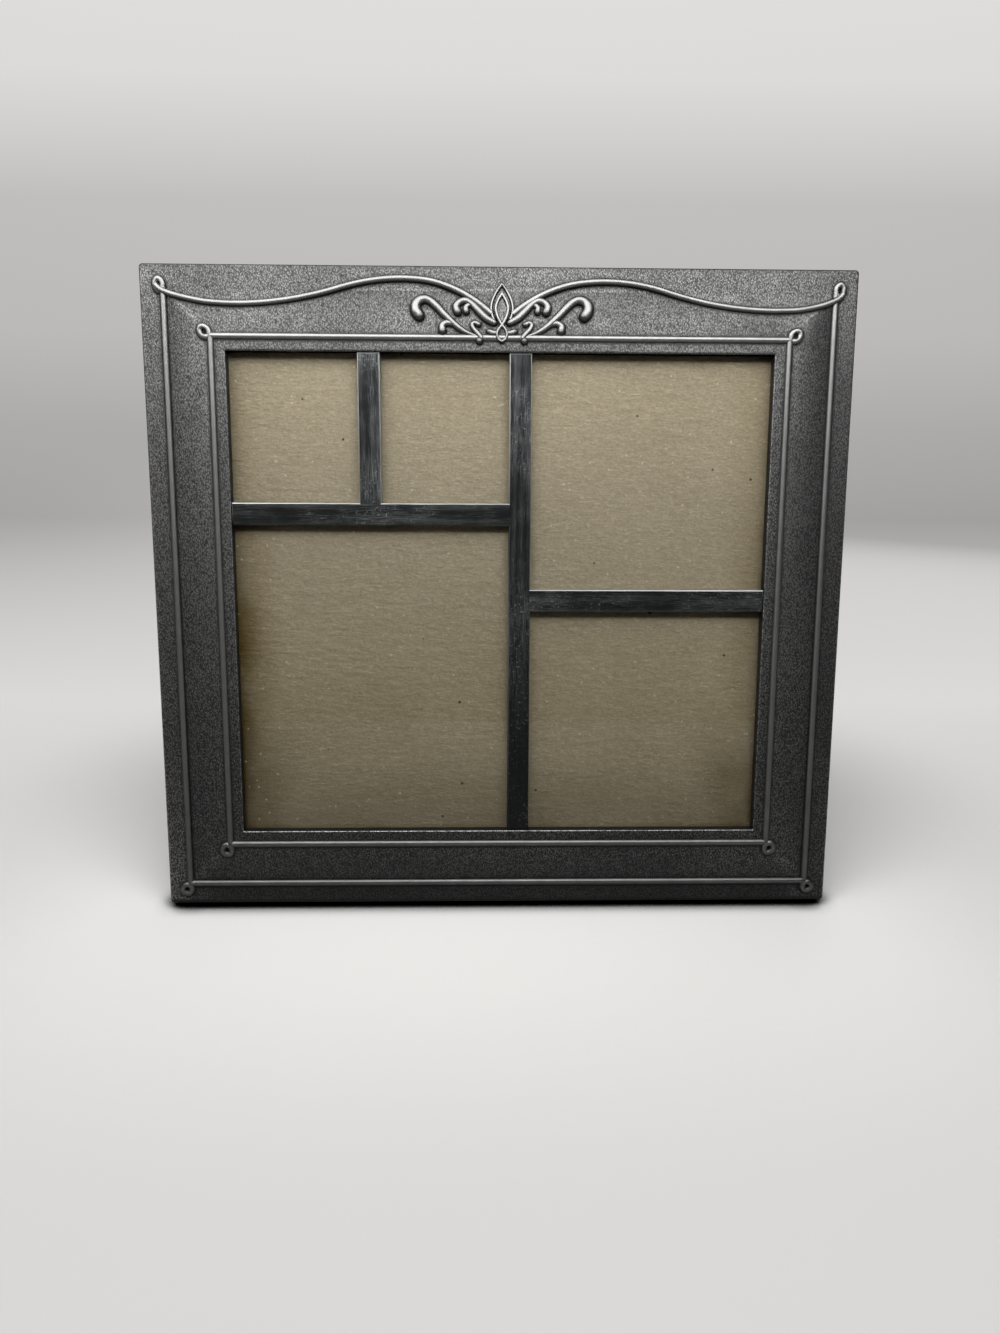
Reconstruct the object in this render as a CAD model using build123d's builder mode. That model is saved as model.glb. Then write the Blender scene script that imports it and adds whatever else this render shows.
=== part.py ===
"""Collage photo frame: a cast border with five windows, leaning back on an easel leg.

Millimetres, +Z up, the front faces -Y. The casting is drawn on its rear rim: u runs across,
v runs up the leaning face and w runs forward from the rim.
"""

import os
from math import atan2, cos, degrees, hypot, pi, radians, sin, tan

from build123d import *

os.makedirs("parts", exist_ok=True)

# Outline and stance
frame_width = 237.6
frame_height = 220.2
lean = 12.0
leg_open = 21.0

# Thicknesses, from the rear rim forwards
rim_lip = 1.8
panel_thickness = 3.0
filler_thickness = 1.2
glass_thickness = 2.0
bar_thickness = 3.2
bar_drop = 0.7
strip_rise = 0.3
field_rise = 2.3
border_skin = 2.8

# Casting walls
outer_wall = 2.4
rebate_wall = 2.4
wall_draft = 0.5
corner_radius = 1.2
front_edge_radius = 0.8

# Border, from the outline to the outer bead, then to the inner bead, then to the windows
outer_bead_inset = 8.1
field_width = 15.3
strip_width = 4.7
field_steps = 3

# Windows
bar_width = 7.5
left_column = 93.3
small_window_height = 49.1

# Beads and their corner loops; curved wires have a section with few flats
bead_radius = 1.05
bead_proud = 0.2
loop_radius = 1.6
loop_wire = 0.85
wire_flats = 8

# Swag along the top field; drops are measured down from the top edge
swag_crest_offset = 34.5
swag_crest_drop = 4.5
swag_dip_inset = 28.3
swag_dip_drop = 13.3
swag_turn_share = 0.35
swag_root_offset = 3.4
swag_root_drop = 16.0
swag_end_drop = 10.2
swag_wire = 1.0
swag_proud = 0.45

# Scrolls on the field: each point's offset from the centre line and its drop
long_scroll_stem = [(8.2, 22.8), (16.7, 18.3), (23.2, 12.0)]
long_scroll_curl = [(29.1, 14.0), (27.2, 17.2)]
branch_hook = [(14.3, 19.9), (18.2, 18.6), (19.8, 21.3)]
upper_scroll_stem = [(2.4, 18.8), (6.5, 16.1), (10.1, 12.4)]
upper_scroll_curl = [(15.3, 13.5), (14.6, 15.4)]
inner_hook = [(9.0, 13.3), (11.2, 13.0), (11.8, 15.2)]
foot_hook_stem = [(6.7, 23.6), (9.4, 20.7), (9.8, 19.4)]
foot_hook_curl = [(7.5, 19.3)]
foot_bulb = (7.4, 24.5)
scroll_wire = 0.85
hook_wire = 0.7
bulb_radius = 1.4

# Finial: each leaf's tip, belly and foot, measured down from the top edge, with its half width
outer_leaf = (6.1, 14.0, 18.6, 3.6)
inner_leaf = (9.2, 14.1, 19.6, 2.1)
drop_leaf = (19.2, 22.0, 24.8, 1.7)
leaf_proud = 0.75
leaf_bevel = 15.0
leaf_rim = 0.75
leaf_dish = 0.4

# Glazing
glass_lap = 3.6
glass_clearance = 0.4

# Posts and turn clips
post_inset = 7.0
post_radius = 3.6
panel_clearance = 0.4
clips_across = 120.0
clips_up = 110.0
clip_pivot_radius = 3.5
clip_nose_radius = 2.4
clip_lap = 5.0
clip_thickness = 0.7
clip_gap = 0.15
screw_radius = 1.3
screw_depth = 5.0
screw_head_radius = 2.4
screw_head_height = 0.85
screw_clearance = 0.06

# Easel hinge
hinge_drop = 78.0
hinge_width = 32.0
pin_radius = 1.0
pin_clearance = 0.06
knuckle_wall = 0.9
leg_knuckle_width = 14.0
knuckle_gap = 0.3
leaf_thickness = 0.8
back_leaf_height = 26.0
leg_leaf_length = 26.0
leaf_corner_radius = 4.0
tongue_width = 11.0
tongue_length = 6.0
tongue_gap = 0.1
rivet_radius = 1.2
rivet_head_radius = 2.6
rivet_head_height = 0.9
rivet_clearance = 0.02
rivet_spacing = 20.0
rivet_end = 7.0

# Easel leg
leg_thickness = 2.7
leg_top_width = 40.0
leg_foot_width = 62.0
leg_corner_radius = 4.0

# Lines of the border and the hinge
inner_bead_inset = outer_bead_inset + field_width
window_inset = inner_bead_inset + strip_width
hinge_height = frame_height - hinge_drop

# Levels forward of the rear rim
panel_back = rim_lip
panel_front = panel_back + panel_thickness
glass_back = panel_front + filler_thickness
glass_front = glass_back + glass_thickness
bar_front = glass_front + bar_thickness
strip_front = bar_front + bar_drop
field_front = strip_front - strip_rise
border_front = field_front - field_rise
channel_floor = border_front - border_skin
bead_level = border_front + bead_proud

# Stance: the rear bottom edge lies on the floor and the box is centred on Y
lean_angle = radians(lean)
prop_angle = radians(leg_open - lean)
knuckle_radius = pin_radius + pin_clearance + knuckle_wall
pin_level = panel_back - knuckle_gap - knuckle_radius
loop_shift = loop_radius / hypot(1, 1)
leg_back = leaf_thickness / 2 + leg_thickness
pin_rise = hinge_height * cos(lean_angle) + pin_level * sin(lean_angle)
pin_reach = hinge_height * sin(lean_angle) - pin_level * cos(lean_angle)
foot_reach = pin_reach + (leg_back + pin_rise * sin(prop_angle)) / cos(prop_angle)
loop_low = outer_bead_inset - loop_shift - loop_radius
loop_reach = bead_level * cos(lean_angle) - loop_low * sin(lean_angle) + loop_wire
rear_y = (loop_reach - foot_reach) / 2

across = (1, 0, 0)
face = Plane(origin=(0, rear_y, 0), x_dir=across, z_dir=(0, -cos(lean_angle), sin(lean_angle)))
forward = Axis(face.origin, face.z_dir)
mid_height = frame_height / 2
face_middle = Plane(
    origin=face.from_local_coords(Vector(0, mid_height, 0)), x_dir=across, z_dir=face.z_dir
)
pin_point = face.from_local_coords(Vector(0, hinge_height, pin_level))
leg_plane = Plane(origin=pin_point, x_dir=across, z_dir=(0, -cos(prop_angle), -sin(prop_angle)))

# The field of the top border as a plane through its two bead lines
field_slope = atan2(field_rise, field_width)
field_line = face.from_local_coords(Vector(0, frame_height - inner_bead_inset, field_front))
field_plane = Plane(
    origin=field_line,
    x_dir=across,
    z_dir=face.z_dir * cos(field_slope) + face.y_dir * sin(field_slope),
)
relief_plane = field_plane.offset(swag_proud)


# A point of the top border, given off the centre line and below the top edge, on the field's slope
def on_field(place):
    offset_u, drop = place
    return (offset_u, (inner_bead_inset - drop) / cos(field_slope))


def written(block, name):
    block.part.label = name
    export_step(block.part, f"parts/{name}.step")


# A round-headed fastener whose head lies on the seat and points outwards
def fastener(seat, outward, shank_radius, shank_length, head_radius, head_height):
    turning = Plane(origin=seat, x_dir=across, z_dir=Vector(across).cross(outward))
    with BuildPart() as piece:
        with BuildSketch(turning):
            with BuildLine():
                TangentArc((0, head_height), (head_radius, 0), tangent=(1, 0))
                Polyline(
                    (0, head_height),
                    (0, -shank_length),
                    (shank_radius, -shank_length),
                    (shank_radius, 0),
                    (head_radius, 0),
                )
            make_face()
        revolve(axis=Axis(turning.origin, turning.y_dir))
    return piece.part


# Window rectangles as centre and size, on the face about its middle
block_width = frame_width - 2 * window_inset
block_height = frame_height - 2 * window_inset
right_column = block_width - left_column - bar_width
small_width = (left_column - bar_width) / 2
tall_height = block_height - small_window_height - bar_width
half_height = (block_height - bar_width) / 2
left_edge, right_edge = -block_width / 2, block_width / 2
low_edge, high_edge = -block_height / 2, block_height / 2
small_row = high_edge - small_window_height / 2
windows = {
    "upper_left": (left_edge + small_width / 2, small_row, small_width, small_window_height),
    "upper_middle": (
        left_edge + left_column - small_width / 2,
        small_row,
        small_width,
        small_window_height,
    ),
    "lower_left": (
        left_edge + left_column / 2,
        low_edge + tall_height / 2,
        left_column,
        tall_height,
    ),
    "upper_right": (
        right_edge - right_column / 2,
        high_edge - half_height / 2,
        right_column,
        half_height,
    ),
    "lower_right": (
        right_edge - right_column / 2,
        low_edge + half_height / 2,
        right_column,
        half_height,
    ),
}

# Clip pivots on the face about its middle, each with the way its nose points
side_u = frame_width / 2 - post_inset
side_v = frame_height / 2 - post_inset
clip_places = {
    "turn_clip_top_left": (-clips_across / 2, side_v, -face.y_dir),
    "turn_clip_top_right": (clips_across / 2, side_v, -face.y_dir),
    "turn_clip_bottom_left": (-clips_across / 2, -side_v, face.y_dir),
    "turn_clip_bottom_right": (clips_across / 2, -side_v, face.y_dir),
    "turn_clip_left_upper": (-side_u, clips_up / 2, face.x_dir),
    "turn_clip_left_lower": (-side_u, -clips_up / 2, face.x_dir),
    "turn_clip_right_upper": (side_u, clips_up / 2, -face.x_dir),
    "turn_clip_right_lower": (side_u, -clips_up / 2, -face.x_dir),
}
post_centres = [(u, v) for u, v, nose in clip_places.values()]

# Paths of the relief on the right half of the top border
bead_u = frame_width / 2 - outer_bead_inset
swag_crest = (swag_crest_offset, swag_crest_drop)
swag_dip = (frame_width / 2 - swag_dip_inset, swag_dip_drop)
swag_middle = tuple(a + swag_turn_share * (b - a) for a, b in zip(swag_crest, swag_dip))
swag_end = (bead_u, swag_end_drop)
with BuildLine() as swag_path:
    crest, middle, dip = on_field(swag_crest), on_field(swag_middle), on_field(swag_dip)
    TangentArc(crest, on_field((swag_root_offset, swag_root_drop)), tangent=(-1, 0))
    TangentArc(crest, middle, tangent=(1, 0))
    TangentArc(dip, middle, tangent=(-1, 0))
    TangentArc(dip, on_field(swag_end), tangent=(1, 0))


# A stem through three points, then a curl of arcs that each leave the last one smoothly
def scroll(stem, curl=()):
    with BuildLine() as path:
        run = ThreePointArc(*[on_field(place) for place in stem])
        for place in curl:
            run = TangentArc(run @ 1, on_field(place), tangent=run % 1)
    return path


relief_runs = [
    (swag_path, swag_wire),
    (scroll(long_scroll_stem, long_scroll_curl), scroll_wire),
    (scroll(upper_scroll_stem, upper_scroll_curl), scroll_wire),
    (scroll(branch_hook), hook_wire),
    (scroll(inner_hook), hook_wire),
    (scroll(foot_hook_stem, foot_hook_curl), hook_wire),
]
bulbs = [long_scroll_curl[-1], branch_hook[-1], upper_scroll_curl[-1], foot_bulb]

# A bulb at the end of a curl, and a loop of bead wire, each about its own upright axis
with BuildPart() as bulb:
    with BuildSketch(Plane.XZ):
        RegularPolygon(bulb_radius, wire_flats, rotation=180 / wire_flats)
        split(bisect_by=Plane.YZ)
    revolve(axis=Axis.Z)

with BuildPart() as bead_loop:
    with BuildSketch(Plane.XZ):
        with Locations((loop_radius, 0)):
            RegularPolygon(loop_wire, wire_flats, rotation=180 / wire_flats)
    revolve(axis=Axis.Z)

# Relief of the top border: swag, scrolls and their bulbs, mirrored about the centre line
with BuildPart() as top_relief:
    for run, wire_radius in relief_runs:
        path = run.wire().moved(relief_plane.location)
        with BuildSketch(Plane(origin=path @ 0, z_dir=path % 0)):
            RegularPolygon(wire_radius, wire_flats)
        sweep(path=path)
    with Locations(relief_plane):
        with Locations(*[on_field(place) for place in bulbs]):
            add(bulb.part)
    mirror(about=Plane.YZ)


# Outline of a leaf on the field, pointed at its tip and its foot
def leaf_outline(tip_drop, belly_drop, foot_drop, half_width):
    with BuildLine() as outline:
        belly = on_field((half_width, belly_drop))
        TangentArc(belly, on_field((0, tip_drop)), tangent=(0, 1))
        TangentArc(belly, on_field((0, foot_drop)), tangent=(0, -1))
        mirror(about=Plane.YZ)
    return outline.edges()


# Finial: a leaf in a leaf over a drop, each dished inside a raised rim
with BuildPart() as finial:
    for leaf, layers in ((outer_leaf, 1), (inner_leaf, 2), (drop_leaf, 2)):
        height = swag_proud + layers * leaf_proud
        with BuildSketch(field_plane):
            make_face(leaf_outline(*leaf))
        extrude(amount=height, taper=leaf_bevel)
        with BuildSketch(field_plane.offset(height)):
            make_face(leaf_outline(*leaf))
            offset(amount=-leaf_rim, mode=Mode.REPLACE)
        extrude(amount=-leaf_dish, mode=Mode.SUBTRACT)

# The casting
with BuildPart() as cast_frame:
    # Drafted outer block
    with BuildSketch(face_middle):
        RectangleRounded(frame_width, frame_height, corner_radius)
    with BuildSketch(face_middle.offset(border_front)):
        RectangleRounded(frame_width - 2 * wall_draft, frame_height - 2 * wall_draft, corner_radius)
    loft(ruled=True)
    fillet(cast_frame.faces().sort_by(forward)[-1].edges(), front_edge_radius)
    # Convex field between the two beads
    for step in range(field_steps + 1):
        share = step / field_steps
        inset = outer_bead_inset + share * field_width
        with BuildSketch(face_middle.offset(border_front + field_rise * sin(share * pi / 2))):
            Rectangle(frame_width - 2 * inset, frame_height - 2 * inset)
    loft(ruled=True)
    # Ground above the swags, level with the outer strip
    with BuildSketch(face_middle.offset(border_front)):
        with BuildLine():
            middle, dip, end = [
                (offset, mid_height - drop) for offset, drop in (swag_middle, swag_dip, swag_end)
            ]
            TangentArc(dip, middle, tangent=(-1, 0))
            TangentArc(dip, end, tangent=(1, 0))
            Polyline(end, (bead_u, mid_height), (middle[0], mid_height), middle)
        make_face()
        mirror(about=Plane.YZ)
    extrude(amount=field_rise, mode=Mode.SUBTRACT)
    # Flat inner strip
    with BuildSketch(face_middle.offset(border_front)):
        Rectangle(frame_width - 2 * inner_bead_inset, frame_height - 2 * inner_bead_inset)
    extrude(amount=strip_front - border_front)
    # Bars a little below the strip, and the windows between them
    with BuildSketch(face_middle.offset(bar_front)):
        Rectangle(block_width, block_height)
    extrude(amount=bar_drop, mode=Mode.SUBTRACT)
    with BuildSketch(face_middle):
        for u, v, width, height in windows.values():
            with Locations((u, v)):
                Rectangle(width, height)
    extrude(amount=strip_front, mode=Mode.SUBTRACT)
    # Rear: the lip's pocket, the panel's seat, the glass rebate and the channel with its posts
    inside_width = frame_width - 2 * outer_wall
    inside_height = frame_height - 2 * outer_wall
    glass_width = block_width + 2 * glass_lap
    glass_height = block_height + 2 * glass_lap
    rebate_width = glass_width + 2 * glass_clearance
    rebate_height = glass_height + 2 * glass_clearance
    with BuildSketch(face_middle):
        Rectangle(inside_width, inside_height)
    extrude(amount=panel_back, mode=Mode.SUBTRACT)
    with BuildSketch(face_middle.offset(panel_back)):
        Rectangle(inside_width, inside_height)
        with Locations(*post_centres):
            Circle(post_radius, mode=Mode.SUBTRACT)
    extrude(amount=panel_thickness, mode=Mode.SUBTRACT)
    with BuildSketch(face_middle.offset(panel_front)):
        Rectangle(inside_width, inside_height)
        Rectangle(
            rebate_width + 2 * rebate_wall, rebate_height + 2 * rebate_wall, mode=Mode.SUBTRACT
        )
        with Locations(*post_centres):
            Circle(post_radius, mode=Mode.SUBTRACT)
    extrude(amount=channel_floor - panel_front, mode=Mode.SUBTRACT)
    with BuildSketch(face_middle.offset(panel_front)):
        Rectangle(rebate_width, rebate_height)
    extrude(amount=glass_front - panel_front, mode=Mode.SUBTRACT)
    with BuildSketch(face_middle.offset(panel_back)):
        with Locations(*post_centres):
            Circle(screw_radius + rivet_clearance)
    extrude(amount=screw_depth, mode=Mode.SUBTRACT)
    # Outer bead on three sides and the inner bead all round
    bead_v = mid_height - outer_bead_inset
    with BuildLine(face_middle.offset(bead_level)) as outer_bead:
        Polyline((-bead_u, bead_v), (-bead_u, -bead_v), (bead_u, -bead_v), (bead_u, bead_v))
    with BuildSketch(Plane(origin=outer_bead.wire() @ 0, z_dir=-face.y_dir)):
        Circle(bead_radius)
    sweep(path=outer_bead.wire(), transition=Transition.RIGHT)
    inner_u = frame_width / 2 - inner_bead_inset
    inner_v = mid_height - inner_bead_inset
    with BuildLine(face_middle.offset(field_front)) as inner_bead:
        Polyline(
            (0, inner_v),
            (-inner_u, inner_v),
            (-inner_u, -inner_v),
            (inner_u, -inner_v),
            (inner_u, inner_v),
            (0, inner_v),
        )
    with BuildSketch(Plane(origin=inner_bead.wire() @ 0, z_dir=-face.x_dir)):
        Circle(bead_radius)
    sweep(path=inner_bead.wire(), transition=Transition.RIGHT)
    # Loops that the beads make outwards at their corners
    for loop_u, loop_v, level in ((bead_u, bead_v, bead_level), (inner_u, inner_v, field_front)):
        with Locations(face_middle.offset(level)):
            with GridLocations(2 * (loop_u + loop_shift), 2 * (loop_v + loop_shift), 2, 2):
                add(bead_loop.part)
    add(top_relief.part)
    add(finial.part)
written(cast_frame, "cast_frame")

# Glass, filler and back panel, laid into the casting from behind
with BuildPart() as glass_pane:
    with BuildSketch(face_middle.offset(glass_back)):
        Rectangle(glass_width, glass_height)
    extrude(amount=glass_thickness)
written(glass_pane, "glass_pane")

with BuildPart() as filler_board:
    with BuildSketch(face_middle.offset(panel_front)):
        Rectangle(glass_width, glass_height)
    extrude(amount=filler_thickness)
written(filler_board, "filler_board")

panel_margin = post_inset + post_radius + panel_clearance
back_rivet_height = hinge_height + back_leaf_height - rivet_end
back_rivets = [(-rivet_spacing / 2, back_rivet_height), (rivet_spacing / 2, back_rivet_height)]
with BuildPart() as back_panel:
    with BuildSketch(face_middle.offset(panel_back)):
        RectangleRounded(
            frame_width - 2 * panel_margin, frame_height - 2 * panel_margin, corner_radius
        )
        with Locations(*[(u, v - mid_height) for u, v in back_rivets]):
            Circle(rivet_radius + rivet_clearance, mode=Mode.SUBTRACT)
    extrude(amount=panel_thickness)
written(back_panel, "back_panel")

# Turn clips and their screws
clip_front = panel_back - clip_gap
clip_back = clip_front - clip_thickness
clip_reach = post_radius + panel_clearance + clip_lap - clip_nose_radius
for clip_name, (u, v, nose) in clip_places.items():
    pivot = face_middle.from_local_coords(Vector(u, v, clip_front))
    with BuildPart() as turn_clip:
        with BuildSketch(Plane(origin=pivot, x_dir=nose, z_dir=-face.z_dir)):
            Circle(clip_pivot_radius)
            with Locations((clip_reach, 0)):
                Circle(clip_nose_radius)
            make_hull()
            Circle(screw_radius + screw_clearance, mode=Mode.SUBTRACT)
        extrude(amount=clip_thickness)
    written(turn_clip, clip_name)
    print(clip_name, "pivot", tuple(round(c, 4) for c in pivot), "axis", tuple(-face.z_dir))

screw_seat = clip_back - screw_clearance
with BuildPart() as clip_screws:
    for u, v in post_centres:
        seat = face_middle.from_local_coords(Vector(u, v, screw_seat))
        shank = panel_back - screw_seat + screw_depth - screw_clearance
        add(fastener(seat, -face.z_dir, screw_radius, shank, screw_head_radius, screw_head_height))
written(clip_screws, "clip_screws")

# Easel hinge: a leaf on the panel, a pin, and a leaf on the leg with a stop tongue
pin_yz = (pin_point.Y, pin_point.Z)
leg_knuckle_edge = leg_knuckle_width / 2
back_knuckle_edge = leg_knuckle_edge + knuckle_gap
back_knuckle_width = hinge_width / 2 - back_knuckle_edge
notch_height = knuckle_radius + knuckle_gap
with BuildPart() as hinge_back_leaf:
    leaf_foot = face.from_local_coords(Vector(0, hinge_height, panel_back))
    with BuildSketch(Plane(origin=leaf_foot, x_dir=across, z_dir=-face.z_dir)):
        with Locations((0, -back_leaf_height / 2)):
            Rectangle(hinge_width, back_leaf_height)
        Rectangle(2 * back_knuckle_edge, 2 * notch_height, mode=Mode.SUBTRACT)
    extrude(amount=leaf_thickness)
    upright = hinge_back_leaf.edges().filter_by(forward)
    fillet(upright.group_by(Axis.Z)[-1], leaf_corner_radius)
    for side in (-1, 1):
        with BuildSketch(Plane.YZ.offset(side * back_knuckle_edge)):
            with Locations(pin_yz):
                Circle(knuckle_radius)
        extrude(amount=side * back_knuckle_width)
    with BuildSketch(Plane.YZ):
        with Locations(pin_yz):
            Circle(pin_radius + rivet_clearance)
    extrude(amount=hinge_width, both=True, mode=Mode.SUBTRACT)
    with BuildSketch(face.offset(panel_back)):
        with Locations(*back_rivets):
            Circle(rivet_radius + rivet_clearance)
    extrude(amount=-leaf_thickness, mode=Mode.SUBTRACT)
written(hinge_back_leaf, "hinge_back_leaf")

with BuildPart() as hinge_pin:
    with BuildSketch(Plane.YZ):
        with Locations(pin_yz):
            Circle(pin_radius)
    extrude(amount=hinge_width / 2, both=True)
written(hinge_pin, "hinge_pin")

leg_rivet_height = -(leg_leaf_length - rivet_end)
leg_rivets = [(-rivet_spacing / 2, leg_rivet_height), (rivet_spacing / 2, leg_rivet_height)]
with BuildPart() as hinge_leg_leaf:
    with BuildSketch(Plane.YZ):
        with Locations(pin_yz):
            Circle(knuckle_radius)
    extrude(amount=leg_knuckle_edge, both=True)
    with BuildSketch(leg_plane.offset(-leaf_thickness / 2)):
        with Locations((0, -leg_leaf_length / 2)):
            Rectangle(leg_knuckle_width, leg_leaf_length)
        with Locations((0, -(notch_height + leg_leaf_length) / 2)):
            Rectangle(hinge_width, leg_leaf_length - notch_height)
    extrude(amount=leaf_thickness)
    corners = hinge_leg_leaf.edges().filter_by(Axis(pin_point, leg_plane.z_dir))
    fillet(corners.group_by(Axis.Z)[0], leaf_corner_radius)
    tongue_front = panel_back - leaf_thickness - tongue_gap
    with BuildSketch(face.offset(tongue_front - leaf_thickness)):
        with Locations((0, hinge_height + (knuckle_radius + tongue_length) / 2)):
            Rectangle(tongue_width, knuckle_radius + tongue_length)
    extrude(amount=leaf_thickness)
    with BuildSketch(Plane.YZ):
        with Locations(pin_yz):
            Circle(pin_radius + pin_clearance)
    extrude(amount=hinge_width, both=True, mode=Mode.SUBTRACT)
    with BuildSketch(leg_plane.offset(-leaf_thickness / 2)):
        with Locations(*leg_rivets):
            Circle(rivet_radius + rivet_clearance)
    extrude(amount=leaf_thickness, mode=Mode.SUBTRACT)
written(hinge_leg_leaf, "hinge_leg_leaf")

with BuildPart() as back_leaf_rivets:
    for u, v in back_rivets:
        seat = face.from_local_coords(Vector(u, v, panel_back - leaf_thickness))
        shank = leaf_thickness + panel_thickness
        add(fastener(seat, -face.z_dir, rivet_radius, shank, rivet_head_radius, rivet_head_height))
written(back_leaf_rivets, "back_leaf_rivets")

# Easel leg: a tapered board whose foot is cut level with the floor
leg_top = -(knuckle_radius + knuckle_gap)
leg_length = pin_rise / cos(prop_angle) + leg_back * tan(prop_angle)
with BuildPart() as easel_leg:
    with BuildSketch(leg_plane.offset(-leaf_thickness / 2)):
        with BuildLine():
            Polyline(
                (-leg_top_width / 2, leg_top),
                (leg_top_width / 2, leg_top),
                (leg_foot_width / 2, -leg_length),
                (-leg_foot_width / 2, -leg_length),
                close=True,
            )
        make_face()
        with Locations(*leg_rivets):
            Circle(rivet_radius + rivet_clearance, mode=Mode.SUBTRACT)
    extrude(amount=-leg_thickness)
    split(bisect_by=Plane.XY, keep=Keep.TOP)
    ends = (easel_leg.faces().sort_by(Axis.Z)[0], easel_leg.faces().sort_by(Axis.Z)[-1])
    fillet([end.edges().sort_by(Axis.X)[side] for end in ends for side in (0, -1)], leg_corner_radius)
written(easel_leg, "easel_leg")

with BuildPart() as leg_leaf_rivets:
    for u, v in leg_rivets:
        seat = leg_plane.from_local_coords(Vector(u, v, -leg_back))
        shank = leaf_thickness + leg_thickness
        add(fastener(seat, -leg_plane.z_dir, rivet_radius, shank, rivet_head_radius, rivet_head_height))
written(leg_leaf_rivets, "leg_leaf_rivets")

foot = easel_leg.faces().sort_by(Axis.Z)[0]
print("hinge pin", tuple(round(c, 4) for c in pin_point), "leg opens", leg_open, "degrees")
print("leg foot centre", tuple(round(c, 4) for c in foot.center()), "normal", tuple(foot.normal_at()))
print("rear rim", round(rear_y, 4), "lean", round(degrees(lean_angle), 3))
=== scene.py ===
import math

import bmesh
import bpy
import numpy as np
from mathutils import Matrix, Vector
from mathutils.kdtree import KDTree


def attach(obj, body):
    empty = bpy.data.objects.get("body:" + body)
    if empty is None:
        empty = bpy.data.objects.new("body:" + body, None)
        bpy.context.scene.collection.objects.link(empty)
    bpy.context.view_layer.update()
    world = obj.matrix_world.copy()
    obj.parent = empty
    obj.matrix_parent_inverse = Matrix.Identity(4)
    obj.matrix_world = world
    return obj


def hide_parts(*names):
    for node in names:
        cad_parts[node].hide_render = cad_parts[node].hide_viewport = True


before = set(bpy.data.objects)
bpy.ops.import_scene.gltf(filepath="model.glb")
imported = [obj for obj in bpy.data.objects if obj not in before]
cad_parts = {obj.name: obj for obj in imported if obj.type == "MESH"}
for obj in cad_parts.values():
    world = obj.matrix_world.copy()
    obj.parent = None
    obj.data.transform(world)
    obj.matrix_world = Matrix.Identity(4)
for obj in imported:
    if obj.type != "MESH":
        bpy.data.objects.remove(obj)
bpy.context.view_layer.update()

# How the frame stands: lean in degrees, the rear rim's foot in millimetres
stance = {"lean": 12.0, "rearRim": -23.0712}
mm = 0.001
leanAngle = math.radians(stance["lean"])
faceUp = np.array((0.0, math.sin(leanAngle), math.cos(leanAngle)))
faceOut = np.array((0.0, -math.cos(leanAngle), math.sin(leanAngle)))
faceFoot = np.array((0.0, stance["rearRim"], 0.0))


# Millimetres across, up the face and forward of the rear rim, to metres in the part's frame
def onFace(u, v, w):
    u, v, w = np.broadcast_arrays(np.asarray(u, float), v, w)
    across = np.stack((u, np.zeros_like(u), np.zeros_like(u)), -1)
    return (across + v[..., None] * faceUp + w[..., None] * faceOut + faceFoot) * mm


# The way back, from metres to millimetres across, up and forward
def offFace(places):
    places = np.asarray(places, float) / mm - faceFoot
    return places[..., 0], places @ faceUp, places @ faceOut


def smoothStep(low, high, value):
    share = np.clip((value - low) / (high - low), 0.0, 1.0)
    return share * share * (3 - 2 * share)


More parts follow.
